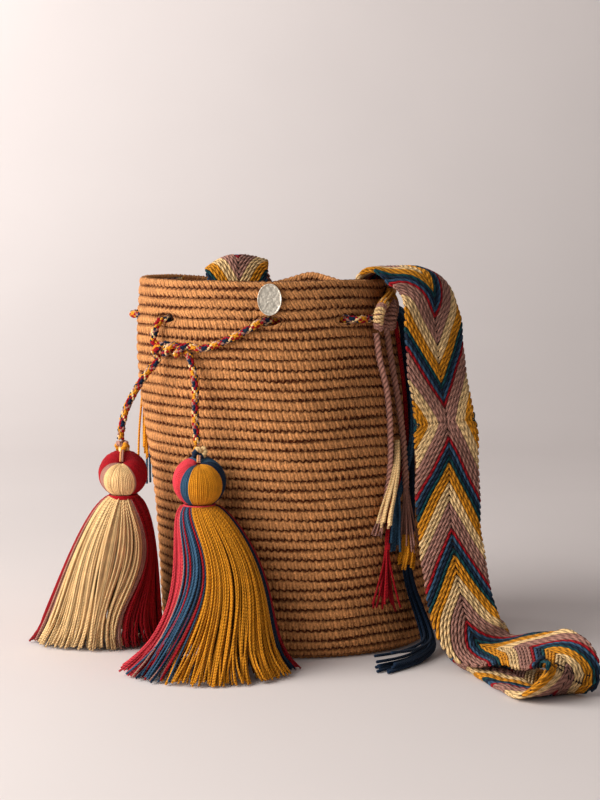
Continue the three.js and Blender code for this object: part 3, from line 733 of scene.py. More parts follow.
class Band:
    """The strap's middle line with its width and outward directions."""

    def __init__(self):
        _, heights, _, turn, tilt = np.array(STRAP_STATIONS).T
        stations = route(STRAP_STATIONS)
        stations[:, 2] = heights
        turn = np.radians(turn)
        tilt = np.radians(tilt)
        width = np.stack([np.cos(tilt) * np.cos(turn), np.cos(tilt) * np.sin(turn), np.sin(tilt)], axis=-1)
        span = 80
        self.middle = smooth_curve(stations, span)
        across = smooth_curve(width, span, centripetal=False)
        self.run = run_along(self.middle)
        self.length = self.run[-1]
        along = unit(np.gradient(self.middle, self.run, axis=0))
        self.across = unit(across - along * np.sum(across * along, axis=1, keepdims=True))
        self.out = np.cross(along, self.across)

    def at(self, along, width, rise):
        """Points of the band at a length, a distance from its middle line and a height above it."""
        edge = width / STRAP_HALF
        rise = rise - np.interp(along, *EDGE_BOW) * edge**2
        rise = rise + np.interp(along, *EDGE_LIFT) * np.maximum(edge, 0) ** 2
        rise = rise - np.interp(along, *EDGE_DRAPE) * np.maximum(-edge, 0) ** 2
        rise = rise + 0.0005 * np.sin(along * 95 + edge * 2) + 0.0004 * np.sin(along * 210 - edge * 4)
        width = width * (1 + 0.018 * np.sin(along * 130) + 0.014 * np.sin(along * 57 + 1))
        middle, across, out = (
            looked_up(along, self.run, way) for way in (self.middle, self.across, self.out))
        return middle + across * width[..., None] + out * rise[..., None]


def strap_ropes(slope):
    """Start, way, span across the band and yarn of each chevron rope."""
    ropes = []
    for low, high, way, apexes in CHEVRON_ZONES:
        counts, places = zip(*apexes)
        for step in range(counts[0] * len(ROPE_YARNS), counts[-1] * len(ROPE_YARNS)):
            start = np.interp(step / len(ROPE_YARNS), counts, places)
            ends = sorted(((low - start) * way / slope, (high - start) * way / slope))
            first = max(ends[0], 0.0)
            last = min(ends[1], STRAP_HALF)
            if last - first > 0.0011:
                ropes.append((start, way, first, last, step % len(ROPE_YARNS)))
    return np.array(ropes)


def strap_face(sizes, colours, band, face, chance):
    """Ropes on one face of the strap, from its middle line out to both edges."""
    skein = Skein()
    slope = sizes.chevron_slope
    ropes = strap_ropes(slope)
    starts, ways, first, last, _ = (column[:, None] for column in ropes.T)
    tints = dye(colours, ROPE_YARNS)[ropes[:, 4].astype(int)]
    share = np.concatenate([[0, 0.04, 0.09], np.linspace(0.2, 0.86, 9), [0.945, 0.98, 1.0]])[None]
    for side in (-1, 1):
        lead = np.where(first > 0, 0, 0.0016 if side > 0 else 0.0004)
        across = first - lead + share * (last - first + lead)
        along = starts + ways * slope * np.maximum(across, 0) + chance.normal(0, 0.0002, starts.shape)
        along = np.clip(along, 0.0004, band.length - 0.0004)
        lift = chance.uniform(0, 0.00015, starts.shape)
        height = face * (np.interp(across, ROPE_PLACES, ROPE_HEIGHTS) + lift)
        paths = band.at(along, side * np.minimum(across, 0.0262), height)
        skein.add(paths, ROPE_RADIUS, tints * chance.uniform(0.86, 1.12, starts.shape))
        for step, tint in enumerate(dye(colours, SIDE_YARNS)):
            inner = (step + 0.5) * 0.0029
            far = (STRAP_HALF - inner) * slope
            off = np.linspace(-far, far, 34)
            across = np.minimum(inner + (np.sqrt(off**2 + 0.005**2) - 0.005) / slope, STRAP_HALF)
            height = face * np.interp(across, ROPE_PLACES[2:], ROPE_HEIGHTS[2:])
            skein.add(band.at(STRAP_FLIP + off, side * across, height), ROPE_RADIUS, tint)
    return skein


def strap_core(band, colours):
    """Thin closed band that carries the ropes, near black as painted shade in the gaps between them."""
    half = STRAP_HALF - 0.0008
    thick = 0.0011
    section = np.array([(half, 0.0), (half - 0.001, thick), (0.0, thick), (0.001 - half, thick),
                        (-half, 0.0), (0.001 - half, -thick), (0.0, -thick), (half - 0.001, -thick)])
    rings = band.at(np.linspace(0, band.length, 420)[:, None], *section.T)[None]
    skein = Skein()
    # The core's mauve is darkened to near black as painted shade between the ropes.
    skein.add_rings(rings, 0 * rings[..., :2], 0, dye(colours, "mauve", 0.08))
    return skein


class BAG_OT_strap(bpy.types.Operator):
    """Braids the shoulder strap from diagonal ropes on a thin band"""

    bl_idname = "bag.strap"
    bl_label = "Braided Strap"

    def execute(self, context):
        sizes = context.scene.bag_sizes
        colours = context.scene.yarn_colours
        chance = np.random.default_rng(11)
        band = Band()
        rope = plied_finish("strap_rope", pitch=0.0135, depth=0.0011, ply_shade=0.5, fuzz=0.7)
        core = strap_core(band, colours).piece("strap_core", rope, "strap_yarn", "woven_strap")
        faces = [strap_face(sizes, colours, band, face, chance).piece(name, rope, "strap_yarn")
                 for name, face in (("strap_outer_ropes", 1), ("strap_inner_ropes", -1))]
        return {"FINISHED"}


# The drawstring: its free ends and their ways to the eyelets, as azimuth, height and distance from the wall.
LEFT_END_ROUTE = (
    (-146.4, 0.1728, 0.0388), (-146.1, 0.18, 0.0376), (-145, 0.1965, 0.0326), (-142.8, 0.2155, 0.022),
    (-141, 0.2265, 0.0145), (-138.6, 0.2355, 0.008),
)
RIGHT_END_ROUTE = (
    (-119.8, 0.1717, 0.0197), (-119.8, 0.181, 0.0182), (-119.9, 0.1952, 0.0159), (-119.5, 0.2155, 0.0125),
    (-120.6, 0.23, 0.009),
)
RIGHT_EYELET_ROUTE = (
    (-117.5, 0.2465, 0.0064), (-112.8, 0.2485, 0.005), (-104.9, 0.2545, 0.0046), (-96.4, 0.263, 0.0046),
    (-92.4, 0.2675, 0.0038),
)
LEFT_EYELET_ROUTE = (
    (-141, 0.2535, 0.007), (-139.8, 0.2615, 0.0055), (-138.8, 0.267, 0.0032),
)
# The half knot in which the two ends cross.
KNOT_AZIMUTH = -140
KNOT_LEVEL = 0.245
KNOT_REACH = 0.0035


def knot_twist(phase):
    """One cord's way along the half knot."""
    share = np.arange(13) / 12
    angle = TURN * 1.5 * share + phase
    return np.stack([KNOT_AZIMUTH + 17.5 * share, KNOT_LEVEL + KNOT_REACH * np.sin(angle),
                     0.0074 + KNOT_REACH * np.cos(angle)], -1)


def held_way():
    """The stretch of the drawstring in and out of the wall."""
    outside = 0.0038
    inside = -0.0092
    beside = 4.6
    way = []
    for i, azimuth in enumerate(EYELETS):
        before, after, span = (inside, outside, OUTSIDE_SPAN) if i % 2 else (outside, inside, INSIDE_SPAN)
        way += [(azimuth - beside, EYELET_LEVEL, before), (azimuth, EYELET_LEVEL, -WALL / 2),
                (azimuth + beside, EYELET_LEVEL, after), (azimuth + span / 2, EYELET_LEVEL, after)]
    return way[1:-2]


# Strands of the round braid, and the length in which each goes once round.
BRAID_YARNS = ("cream", "crimson", "mustard", "navy", "crimson", "mauve", "navy", "mustard")
BRAID_PITCH = 0.0185


def braid(line, first, last, colours, thickness):
    """Round braid of eight strands along part of a line, and its path."""
    runs = np.linspace(first, last, int((last - first) / 0.0018) + 2)
    centre = at_lengths(line, runs)
    skein = Skein()
    for step, yarn in enumerate(BRAID_YARNS):
        way = 1 if step % 2 else -1
        angle = way * TURN * runs / BRAID_PITCH + TURN * (step // 2) / 4 + (0.785 if way > 0 else 0.0)
        weave = way * 0.00042 * np.cos(TURN * 4 * runs / BRAID_PITCH + math.pi * (step // 2))
        paths = wound_round(line, runs, 3000, (thickness / 2 * 0.62 + weave)[:, None], angle)
        skein.add(paths, thickness / 2 * 0.36, dye(colours, yarn))
    # A centre of darkened navy, painted shade in the gaps between the strands.
    skein.add(centre, thickness / 2 * 0.42, dye(colours, "navy", 0.4))
    return skein, centre


# Start of a tassel's loop of yarn, which runs from the small knot down into the head.
KNOT_STUB = ((0.0006, 0, 0), (0.0024, 0, -0.004), (0.0034, 0, -0.008), (0.003, 0, -0.012))


def small_knot(middle, colours, yarns, tilt):
    """Tight knot of two turns of yarn."""
    share = np.linspace(0, TURN, 91)
    loop = np.stack([np.sin(share) + 2 * np.sin(2 * share), np.cos(share) - 2 * np.cos(2 * share),
                     -np.sin(3 * share)], -1) * (0.0015, 0.0015, 0.0026)
    loop = loop @ np.array(Matrix.Rotation(tilt, 3, "Z").transposed())
    tints = dye(colours, [yarns[k // 10 % len(yarns)] for k in range(len(loop))])
    skein = Skein()
    for way in (-1, 1):
        stub = np.array(KNOT_STUB) * (way, 1, 1)
        skein.add(even(smooth_curve(stub, 6), 10) + middle, 0.0013, dye(colours, "mauve"))
    skein.add(loop + middle, 0.0021, tints[None], sides=10, plies=2, ply_depth=0.14, ply_pitch=0.008)
    return skein


class BAG_OT_drawstring(bpy.types.Operator):
    """Braids the drawstring through the eyelets, with its half knot and end knots"""

    bl_idname = "bag.drawstring"
    bl_label = "Drawstring"

    def execute(self, context):
        colours = context.scene.yarn_colours
        thick = context.scene.bag_sizes.cord_thickness
        left_way = np.vstack([LEFT_END_ROUTE, knot_twist(-math.pi / 2), RIGHT_EYELET_ROUTE])
        right_way = np.vstack([RIGHT_END_ROUTE, knot_twist(math.pi / 2)[::-1], LEFT_EYELET_ROUTE])
        held = held_way()
        span = 40
        line = smooth_curve(route(np.vstack([left_way, held, right_way[::-1]])), span)
        runs = run_along(line)
        first = runs[int((len(left_way) - 0.5) * span)]
        last = runs[int((len(left_way) + len(held) - 0.5) * span)]
        yarn = plied_finish("drawstring_yarn", pitch=0.004, depth=0.0004, ply_shade=0.25, fuzz=0.6)
        around, _ = braid(line, first, last, colours, thick)
        around.piece("drawstring_braid", yarn, "drawstring_yarn", "drawstring")
        for label, start, stop, tassel, yarns, tilt in (
                ("left", 0.0, first, CREAM_TASSEL, ("cream", "mustard", "mauve"), 0.4),
                ("right", last, runs[-1], MUSTARD_TASSEL, ("cream", "cream", "mustard", "navy"), 1.3)):
            skein, path = braid(line, start, stop, colours, thick)
            piece = skein.piece("drawstring_" + label + "_braid", yarn, "drawstring_yarn",
                                "drawstring_" + label + "_end")
            if label == "left":
                path = path[::-1]
            middle = tassel_head(tassel) + (0, 0, tassel["ball"] * math.sin(math.radians(78)) + 0.003)
            knot = small_knot(middle, colours, yarns, tilt).piece(
                label + "_knot", yarn, "drawstring_yarn", label + "_end_knot")
        return {"FINISHED"}


# The tassels: head, foot, neck and the widening of the skirt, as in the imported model.
CREAM_TASSEL = {
    "ball": 0.0193, "head": (-146.6, 0.1452, 0.0408), "foot": (-164.5, 0.0, 0.0565), "neck": 0.010,
    "spread": 0.042, "power": 0.5, "nod": 0.85, "flare": 0.004, "depth": 0.66, "bow": 0.0,
    "drifts": ((-52, 20), (-120, -5)), "binding": "crimson",
    "head_yarns": ((-197, "crimson"), (-156, "mauve"), (-139, "cream"), (-58, "mauve"), (-50, "crimson"),
                   (163, "crimson")),
    "skirt_yarns": ((-205, "crimson"), (-168, "mauve"), (-159, "cream"), (-56, "mauve"), (-51, "crimson"),
                    (14, "navy"), (60, "cream"), (155, "crimson")),
}
MUSTARD_TASSEL = {
    "ball": 0.0206, "head": (-120.1, 0.1429, 0.0223), "foot": (-115, 0.0, 0.0495), "neck": 0.011,
    "spread": 0.037, "power": 0.42, "nod": 0.5, "flare": 0.020, "depth": 0.8, "bow": 0.012,
    "drifts": ((-130, 14), (-60, 6)), "binding": "coral",
    "head_yarns": ((-225, "coral"), (-134, "blue"), (-113, "mustard"), (-25, "navy"), (10, "blue"),
                   (135, "coral")),
    "skirt_yarns": ((-230, "coral"), (-149, "mixed"), (-113, "mustard"), (-17, "navy"), (-4, "crimson"),
                    (10, "mustard"), (130, "coral")),
}
# Depth of the neck below a head's middle, as a share of its radius.
NECK_DROP = 0.86
MIXED_YARNS = ("blue", "navy", "blue", "crimson", "blue", "mauve")
# Layers of a skirt, from the outside in: strands, share of its width, and brightness, which is painted shade
# that darkens the inner layers.
SKIRT_LAYERS = ((150, 0.985, 1.0), (150, 0.955, 0.82), (84, 0.88, 0.6), (30, 0.74, 0.35))
# Azimuth at which the counting of a tassel's strands begins.
BACK = -200


def tassel_head(tassel):
    return wall_point(*tassel["head"])


def yarn_at(table, azimuth):
    """Yarn of a tassel at an azimuth, from a table of where each yarn starts."""
    azimuth = (azimuth - BACK) % 360 + BACK
    return next((yarn for start, yarn in reversed(table) if azimuth >= start), table[-1][1])


def tassel_ball(tassel, colours, chance):
    """Wound head: fine strands from its top down to the neck, over a round filling darkened as painted shade
    between the strands.
    """
    head = tassel_head(tassel)
    size = tassel["ball"]
    count = 84
    strand = 0.00088
    azimuth = np.arange(count) * 360 / count + BACK
    polar = np.radians(np.linspace(4, 154, 17))[None]
    turn = np.radians(azimuth)[:, None] + 0 * polar
    bulge = size - strand + chance.uniform(-0.0002, 0.0002, (count, 1))
    dip = 0.0026 * np.exp(-((polar / 0.36) ** 2))
    reach = bulge * np.sin(polar) + 0.0004
    rise = (bulge - dip) * np.cos(polar)
    nod = tassel["nod"] * (1 - polar / polar.max())
    front = reach * np.sin(turn)
    points = np.stack([reach * np.cos(turn), front * np.cos(nod) - rise * np.sin(nod),
                       rise * np.cos(nod) + front * np.sin(nod)], -1) + head
    tints = dye(colours, [yarn_at(tassel["head_yarns"], a) for a in azimuth])
    tints = tints * chance.uniform(0.9, 1.08, (count, 1))
    skein = Skein()
    skein.add(points, np.clip(reach * math.pi / count * 1.25, 0.0003, strand), tints, sides=5)
    polar = np.radians(np.linspace(2, 156, 16))
    fill = np.stack([0 * polar, 0 * polar, (size - 0.0042) * np.cos(polar)], -1) + head
    # The filling is crimson darkened as painted shade, seen in the gaps between the strands.
    skein.add(fill, (size - 0.0018) * np.sin(polar)[None], dye(colours, "crimson", 0.3), sides=32)
    nod = np.linspace(-0.1, tassel["nod"], 12)
    over = size + 0.0006 - 0.003 * np.clip(nod / tassel["nod"], 0, 1) ** 6
    for side, yarn in ((-0.0007, "tan"), (0.0008, "mauve")):
        tie = np.stack([side + 0 * nod, -over * np.sin(nod), over * np.cos(nod)], -1) + head
        skein.add(tie, 0.0009, dye(colours, yarn))
    return skein


def tassel_skirt(tassel, colours, chance, thick):
    """Loose strands that hang from the neck and spread to the floor."""
    top = tassel_head(tassel) - (0, 0, tassel["ball"] * NECK_DROP)
    foot = wall_point(*tassel["foot"])
    foot[2] = 0.0003
    skein = Skein()
    share = np.linspace(0, 1, 20)[None]
    fall = share**1.4
    swing = np.sin(TURN * (fall - 0.06) * 0.9) * (1 - 0.4 * fall)
    widen = tassel["spread"] * fall ** tassel["power"] + tassel["flare"] * fall**6
    flick = np.maximum(share - 0.86, 0) / 0.14
    grow = np.interp(share, (0, 0.15, 1), (0.75, 0.95, 1.0))
    for count, layer, painted_brightness in SKIRT_LAYERS:
        azimuth = (np.arange(count) + chance.uniform(-0.4, 0.4, count)) * 360 / count + BACK
        yarns = [MIXED_YARNS[int(pick * len(MIXED_YARNS))] if yarn == "mixed" else yarn for yarn, pick in zip(
            [yarn_at(tassel["skirt_yarns"], a) for a in azimuth], chance.random(count))]
        # Inner layers are darkened as painted shade.
        tints = dye(colours, yarns) * chance.uniform(0.8, 1.12, (count, 1)) * painted_brightness
        slack = layer * (1 + chance.normal(0, 0.024, (count, 1)))
        wander = chance.uniform(3, 9, (count, 1))
        wiggle = chance.normal(0, 1.5, (count, 1)) * fall + chance.normal(0, 1.6, (count, 1)) * fall * np.sin(
            share * wander + chance.uniform(0, 6, (count, 1)))
        drift = sum(amount * np.exp(-(((azimuth - centre) / 30) ** 2)) for centre, amount in tassel["drifts"])
        turn = np.radians(azimuth[:, None] + wiggle + drift[:, None] * swing)
        low = foot[2] + thick / 2 + chance.uniform(0, 0.0035, (count, 1)) + 0.0015 * (1 - painted_brightness)
        half_x, half_y = ((tassel["neck"] - 0.0015 + widen * part) * slack - thick / 2
                          for part in (1.0, tassel["depth"]))
        x = top[0] + (foot[0] - top[0]) * fall + tassel["bow"] * np.sin(np.pi * fall) + half_x * np.cos(turn)
        y = top[1] + (foot[1] - top[1]) * fall + half_y * np.sin(turn)
        points = np.stack([x, y, top[2] + (low - top[2]) * fall + 0 * turn], -1)
        points[..., :2] += flick[..., None] ** 1.5 * chance.normal(0, 0.0022, (count, 1, 2))
        radius = thick / 2 * grow * chance.uniform(0.85, 1.12, (count, 1))
        skein.add(keep_off_wall(points, 0.0032), radius, tints, sides=5)
    return skein


def neck_binding(tassel, colours):
    """Three turns of yarn wound round the neck."""
    middle = tassel_head(tassel) - (0, 0, tassel["ball"] * NECK_DROP + 0.0018)
    turns = np.linspace(0, 3.1, 150)
    reach = tassel["neck"] + 0.0011
    angle = TURN * turns
    coil = np.stack([reach * np.cos(angle), reach * np.sin(angle), 0.00085 * (turns - 1.55)], -1)
    skein = Skein()
    skein.add(coil + middle, 0.0009, dye(colours, tassel["binding"]), sides=8)
    return skein


class BAG_OT_tassels(bpy.types.Operator):
    """Winds the two tassels: head, neck binding and skirt"""

    bl_idname = "bag.tassels"
    bl_label = "Tassels"

    def execute(self, context):
        colours = context.scene.yarn_colours
        thick = context.scene.bag_sizes.tassel_yarn
        chance = np.random.default_rng(23)
        strand = plied_finish("tassel_strand", pitch=0.0052, depth=0.0005, ply_shade=0.3, fuzz=0.45)
        fine = plied_finish("tassel_head_strand", pitch=0.003, depth=0.0002, ply_shade=0.2, fuzz=0.4)
        for node, tassel in (("cream_tassel", CREAM_TASSEL), ("mustard_tassel", MUSTARD_TASSEL)):
            slot = node + "_yarn"
            tassel_ball(tassel, colours, chance).piece(node + "_head", fine, slot, node)
            tassel_skirt(tassel, colours, chance, thick).piece(node + "_skirt", strand, slot, node)
            neck_binding(tassel, colours).piece(node + "_neck", fine, "binding_yarn", node + "_binding")
        return {"FINISHED"}


def hammered_finish(colours):
    """Dull silver with small hammer marks and dark hollows."""
    finish = Finish("hammered_metal")
    place = finish.place()
    marks = finish.node("ShaderNodeTexVoronoi", {"Vector": place, "Scale": 520.0, "Smoothness": 0.6},
                        feature="SMOOTH_F1")
    grain = finish.noise(place, 1900.0, 3.0, 0.6)
    tarnish = finish.noise(place, 240.0, 3.0, 0.6)
    hollow = finish.between(marks, 0.1, 0.6)
    tone = finish.between(tarnish, 0.3, 0.7, 0.62, 1.06) * finish.between(hollow, 0.0, 1.0, 1.08, 0.8)
    rough = finish.between(tarnish, 0.3, 0.7, 0.5, 0.3) + grain * 0.08
    return finish.surface(finish.shade(tuple(colours.metal), tone), rough, marks * 0.8 + grain * 0.25, 0.0003,
                          metallic=0.6)


TAG_AZIMUTH = -87.8
TAG_DROP = 0.0148
TAG_HALF = 0.0125
TAG_THICK = 0.0016
TAG_NARROW = 0.76


def tag_seat():
    """Frame of the tag's middle on the wall: along it, up and outward."""
    height = BAG_HEIGHT - TAG_DROP
    beside = wall_point(np.array([TAG_AZIMUTH - 1, TAG_AZIMUTH + 1]), height)
    beneath = wall_point(TAG_AZIMUTH, np.array([height - TAG_HALF, height + TAG_HALF]))
    along = Vector(beside[1] - beside[0]).normalized()
    out = along.cross(Vector(beneath[1] - beneath[0])).normalized()
    seat = Matrix((along * TAG_NARROW, out.cross(along), out)).transposed().to_4x4()
    seat.translation = Vector(wall_point(TAG_AZIMUTH, height, 0.0008)) + out * TAG_THICK / 2
    return seat


class BAG_OT_tag(bpy.types.Operator):
    """Makes the small hammered oval tag with its raised rim"""

    bl_idname = "bag.tag"
    bl_label = "Metal Tag"

    def execute(self, context):
        bpy.ops.object.select_all(action="DESELECT")
        bpy.ops.mesh.primitive_cylinder_add(
            vertices=64, radius=TAG_HALF, depth=TAG_THICK, end_fill_type="NGON")
        tag = context.object
        tag.name = "oval_tag"
        bpy.ops.object.mode_set(mode="EDIT")
        bpy.ops.mesh.select_all(action="DESELECT")
        bpy.ops.mesh.select_mode(type="FACE")
        shape = bmesh.from_edit_mesh(tag.data)
        for face in shape.faces:
            face.select_set(face.normal.z > 0.9)
        bmesh.update_edit_mesh(tag.data)
        bpy.ops.mesh.extrude_region_move(TRANSFORM_OT_translate={"value": (0, 0, 0.0004)})
        for thickness, depth in ((0.0011, 0), (0.0003, -0.0006), *[(0.0014, 0)] * 7):
            bpy.ops.mesh.inset(thickness=thickness, depth=depth)
        bpy.ops.object.mode_set(mode="OBJECT")
        bevel = tag.modifiers.new("soft_edge", "BEVEL")
        bevel.width = 0.0003
        bevel.segments = 2
        bevel.limit_method = "ANGLE"
        bpy.ops.object.modifier_apply(modifier=bevel.name)
        for vertex in tag.data.vertices:
            x, y, z = vertex.co
            if z > 0 and math.hypot(x, y) < 0.0108:
                vertex.co.z += 0.00016 * math.sin(900 * x + 2) * math.cos(780 * y)
                vertex.co.z += 0.0001 * math.sin(1500 * (x - y))
        seat = tag_seat()
        tag.data.transform(seat)
        tag.data.update()
        low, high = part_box("metal_tag")
        if not (low[2] - 0.001 < seat.translation.z < high[2] + 0.001):
            raise RuntimeError("the tag isn't where the packed model has it")
        bpy.ops.object.shade_smooth_by_angle(angle=math.radians(35))
        tag.data.materials.clear()
        settle(tag, hammered_finish(context.scene.yarn_colours), "tag_metal", "metal_tag")
        return {"FINISHED"}


# Yarn ends of the strap outside the wall: azimuth, height and distance from the wall.
FRINGE_ROUTES = {
    "right_wrapped_loop": (
        (-22, 0.2875, -0.0086), (-22, 0.2875, -0.002), (-24.5, 0.2868, 0.0045), (-31, 0.2833, 0.0078),
        (-37.8, 0.2785, 0.0102), (-41.3, 0.2725, 0.0114), (-41.4, 0.2667, 0.0098), (-39.7, 0.2609, 0.007),
    ),
    "right_mauve_cord_left": (
        (-39.4, 0.257, 0.0029), (-39.6, 0.236, 0.0029), (-37.8, 0.209, 0.0029), (-39.2, 0.176, 0.0029),
        (-43.8, 0.14, 0.0029), (-48.7, 0.118, 0.0029), (-54.3, 0.094, 0.0029),
    ),
    "right_mauve_cord_right": (
        (-32, 0.261, 0.004), (-31.2, 0.246, 0.0035), (-31, 0.228, 0.0035), (-30.4, 0.201, 0.004),
        (-31.2, 0.169, 0.0052), (-35, 0.1456, 0.008), (-37.6, 0.1219, 0.0092), (-39.6, 0.0982, 0.0095),
        (-41, 0.08, 0.0095),
    ),
    "right_cream_fringe": (
        (-35.5, 0.1698, 0.004), (-38.3, 0.1559, 0.0055), (-43.4, 0.1411, 0.0085), (-48.1, 0.127, 0.01),
        (-51.4, 0.1158, 0.011), (-53.9, 0.1035, 0.0115),
    ),
    "right_red_fringe": (
        (-45.6, 0.1193, 0.0042), (-47.9, 0.1037, 0.0045), (-50.4, 0.0907, 0.006), (-51.9, 0.0719, 0.007),
        (-53.2, 0.053, 0.0075), (-54.1, 0.0346, 0.0075),
    ),
    "right_blue_fringe": (
        (-41.6, 0.1265, 0.005), (-43.4, 0.1133, 0.006), (-45.5, 0.0993, 0.0065), (-47.3, 0.0819, 0.0065),
    ),
    "right_navy_fringe": (
        (-39.8, 0.0715, 0.0052), (-38.5, 0.0508, 0.0058), (-36.5, 0.0315, 0.0085), (-37.5, 0.0165, 0.0145),
        (-43, 0.0085, 0.025), (-54.5, 0.0052, 0.036), (-70, 0.0042, 0.0525),
    ),
    "left_mustard_fringe": (
        (155, 0.2875, -0.0086), (155, 0.2875, -0.002), (155, 0.284, 0.0044), (155.2, 0.262, 0.0075),
        (155.6, 0.236, 0.0094), (156.2, 0.2, 0.0145), (157, 0.165, 0.0205), (157.6, 0.138, 0.024),
    ),
    "left_blue_fringe": (
        (151, 0.275, 0.0033), (151, 0.25, 0.0055), (151.6, 0.215, 0.0095), (152.8, 0.175, 0.0165),
        (153.8, 0.14, 0.0215), (154.6, 0.108, 0.0235),
    ),
}
SECOND_LOOP = (
    (-27.1, 0.2846, 0.0058), (-29.1, 0.2801, 0.0092), (-31.7, 0.2747, 0.0112), (-33.2, 0.2684, 0.0105),
    (-32.4, 0.261, 0.0075),
)


def hang(skein, line, strands, width, radius, colours, yarn, chance, wave, points, drop=0.0, sides=6):
    """Adds strands side by side along a line, spreading from one width to another."""
    centre = even(line, points)
    side, other = sides_along(centre[None])
    share = np.linspace(0, 1, points)[None, :, None]
    order = np.arange(strands)
    angle = (chance.uniform(0, TURN, strands) + order * 2.4)[:, None, None]
    wide = (width[0] + (width[1] - width[0]) * share**1.5) * np.sqrt((order + 0.5) / strands)[:, None, None]
    sway = wave * share * np.sin(share * chance.uniform(5, 11, (strands, 1, 1)) + angle)
    out = side[0] * (wide * np.cos(angle) + sway) + other[0] * (wide * np.sin(angle))
    paths = centre[None] + out
    if drop:
        grid = np.linspace(0, 1, points)[None] * (1 - chance.uniform(0, drop, (strands, 1)))
        paths = np.stack([at_lengths(p, g * run_along(p)[-1]) for p, g in zip(paths, grid)])
    paths[..., 2] = np.maximum(paths[..., 2], 0.0016)
    tints = dye(colours, yarn) * chance.uniform(0.82, 1.12, (strands, 1))
    skein.add(keep_off_wall(paths, 0.0014), radius, tints, sides)


def wind(skein, line, reach, colours, yarns):
    """Adds yarn wound closely round a line, and a filling under it, darkened as painted shade between the
    turns.
    """
    yarn_radius = 0.0014
    total = run_along(line)[-1]
    turns = total / (yarn_radius * 1.9)
    runs = np.linspace(0.0004, total - 0.0004, int(turns * 12))
    coil = wound_round(line, runs, 400, reach, TURN * turns * runs / total)
    tints = dye(colours, [yarns[int(run / total * len(yarns) * 0.999)] for run in runs])
    skein.add(coil, yarn_radius, tints[None])
    # The filling's mauve is darkened as painted shade in the gaps between the turns.
    skein.add(even(line, 20), reach - 0.0002, dye(colours, "mauve", 0.5), sides=8)


# Parts of each bundle: from and to along its line, strands, width at both, waviness, radius, uneven length.
BUNDLES = (
    ("cream_ends", "right_cream_fringe", "cream_yarn", "cream",
     ((0.0, 1.0, 12, 0.0016, 0.0072, 0.0012, 0.0011, 0.08),)),
    ("red_ends", "right_red_fringe", "red_yarn", "crimson",
     ((0.0, 0.42, 4, 0.001, 0.001, 0.0003, 0.0009, 0.0), (0.36, 0.42, 9, 0.0022, 0.0022, 0.0, 0.0009, 0.0),
      (0.38, 1.0, 12, 0.0012, 0.0185, 0.003, 0.00095, 0.25))),
    ("blue_ends", "right_blue_fringe", "blue_yarn", "blue",
     ((0.0, 1.0, 10, 0.0035, 0.0065, 0.001, 0.0011, 0.2),)),
    ("navy_ends", "right_navy_fringe", "navy_yarn", "navy",
     ((0.0, 1.0, 18, 0.0036, 0.012, 0.0014, 0.0012, 0.12),)),
    ("mustard_threads", "left_mustard_fringe", "mustard_yarn", "mustard",
     ((0.0, 1.0, 9, 0.0014, 0.0062, 0.001, 0.001, 0.1),)),
    ("blue_loops", "left_blue_fringe", "blue_yarn", "blue",
     ((0.0, 1.0, 7, 0.0014, 0.0055, 0.001, 0.001, 0.1),)),
)
# Single strands that hang from the wrapped loop to the bundles below it.
HANGING_STRANDS = (
    ("red_strand", "red_yarn", "crimson", 4, (
        (-24.5, 0.2642, 0.0065), (-23.2, 0.2411, 0.0055), (-22.6, 0.2123, 0.0045), (-23.4, 0.1877, 0.004),
        (-27.0, 0.1595, 0.003), (-35.0, 0.138, 0.003), (-42.0, 0.125, 0.0035), (-45.6, 0.1193, 0.0042))),
    ("navy_strands", "navy_yarn", "navy", 8, (
        (-25.0, 0.273, 0.0065), (-20.0, 0.268, 0.007), (-18.0, 0.2585, 0.0075), (-18.8, 0.2406, 0.007),
        (-21.4, 0.2122, 0.007), (-23.5, 0.173, 0.0065), (-28.0, 0.13, 0.006), (-34.5, 0.09, 0.0055),
        (-39.8, 0.0715, 0.0052))),
    ("blue_strands", "blue_yarn", "blue", 10, (
        (-24.0, 0.276, 0.007), (-17.5, 0.271, 0.008), (-14.4, 0.26, 0.0092), (-16.0, 0.2402, 0.0102),
        (-20.7, 0.2123, 0.0108), (-23.8, 0.1882, 0.0108), (-27.0, 0.165, 0.0085), (-33.0, 0.142, 0.0045),
        (-40.0, 0.1258, 0.0042))),
)


# Pitch of the mauve cords' plies, and points along a cord, along a bundle and along each span of a route.
ROPE_PITCH = 0.0125
CORD_POINTS = 240
BUNDLE_POINTS = 200
SPAN_POINTS = 30
# Points of the wrapped loop's line at which the winding starts and the yarns inside it end.
WINDING_START = 105
INSIDE_END = 125


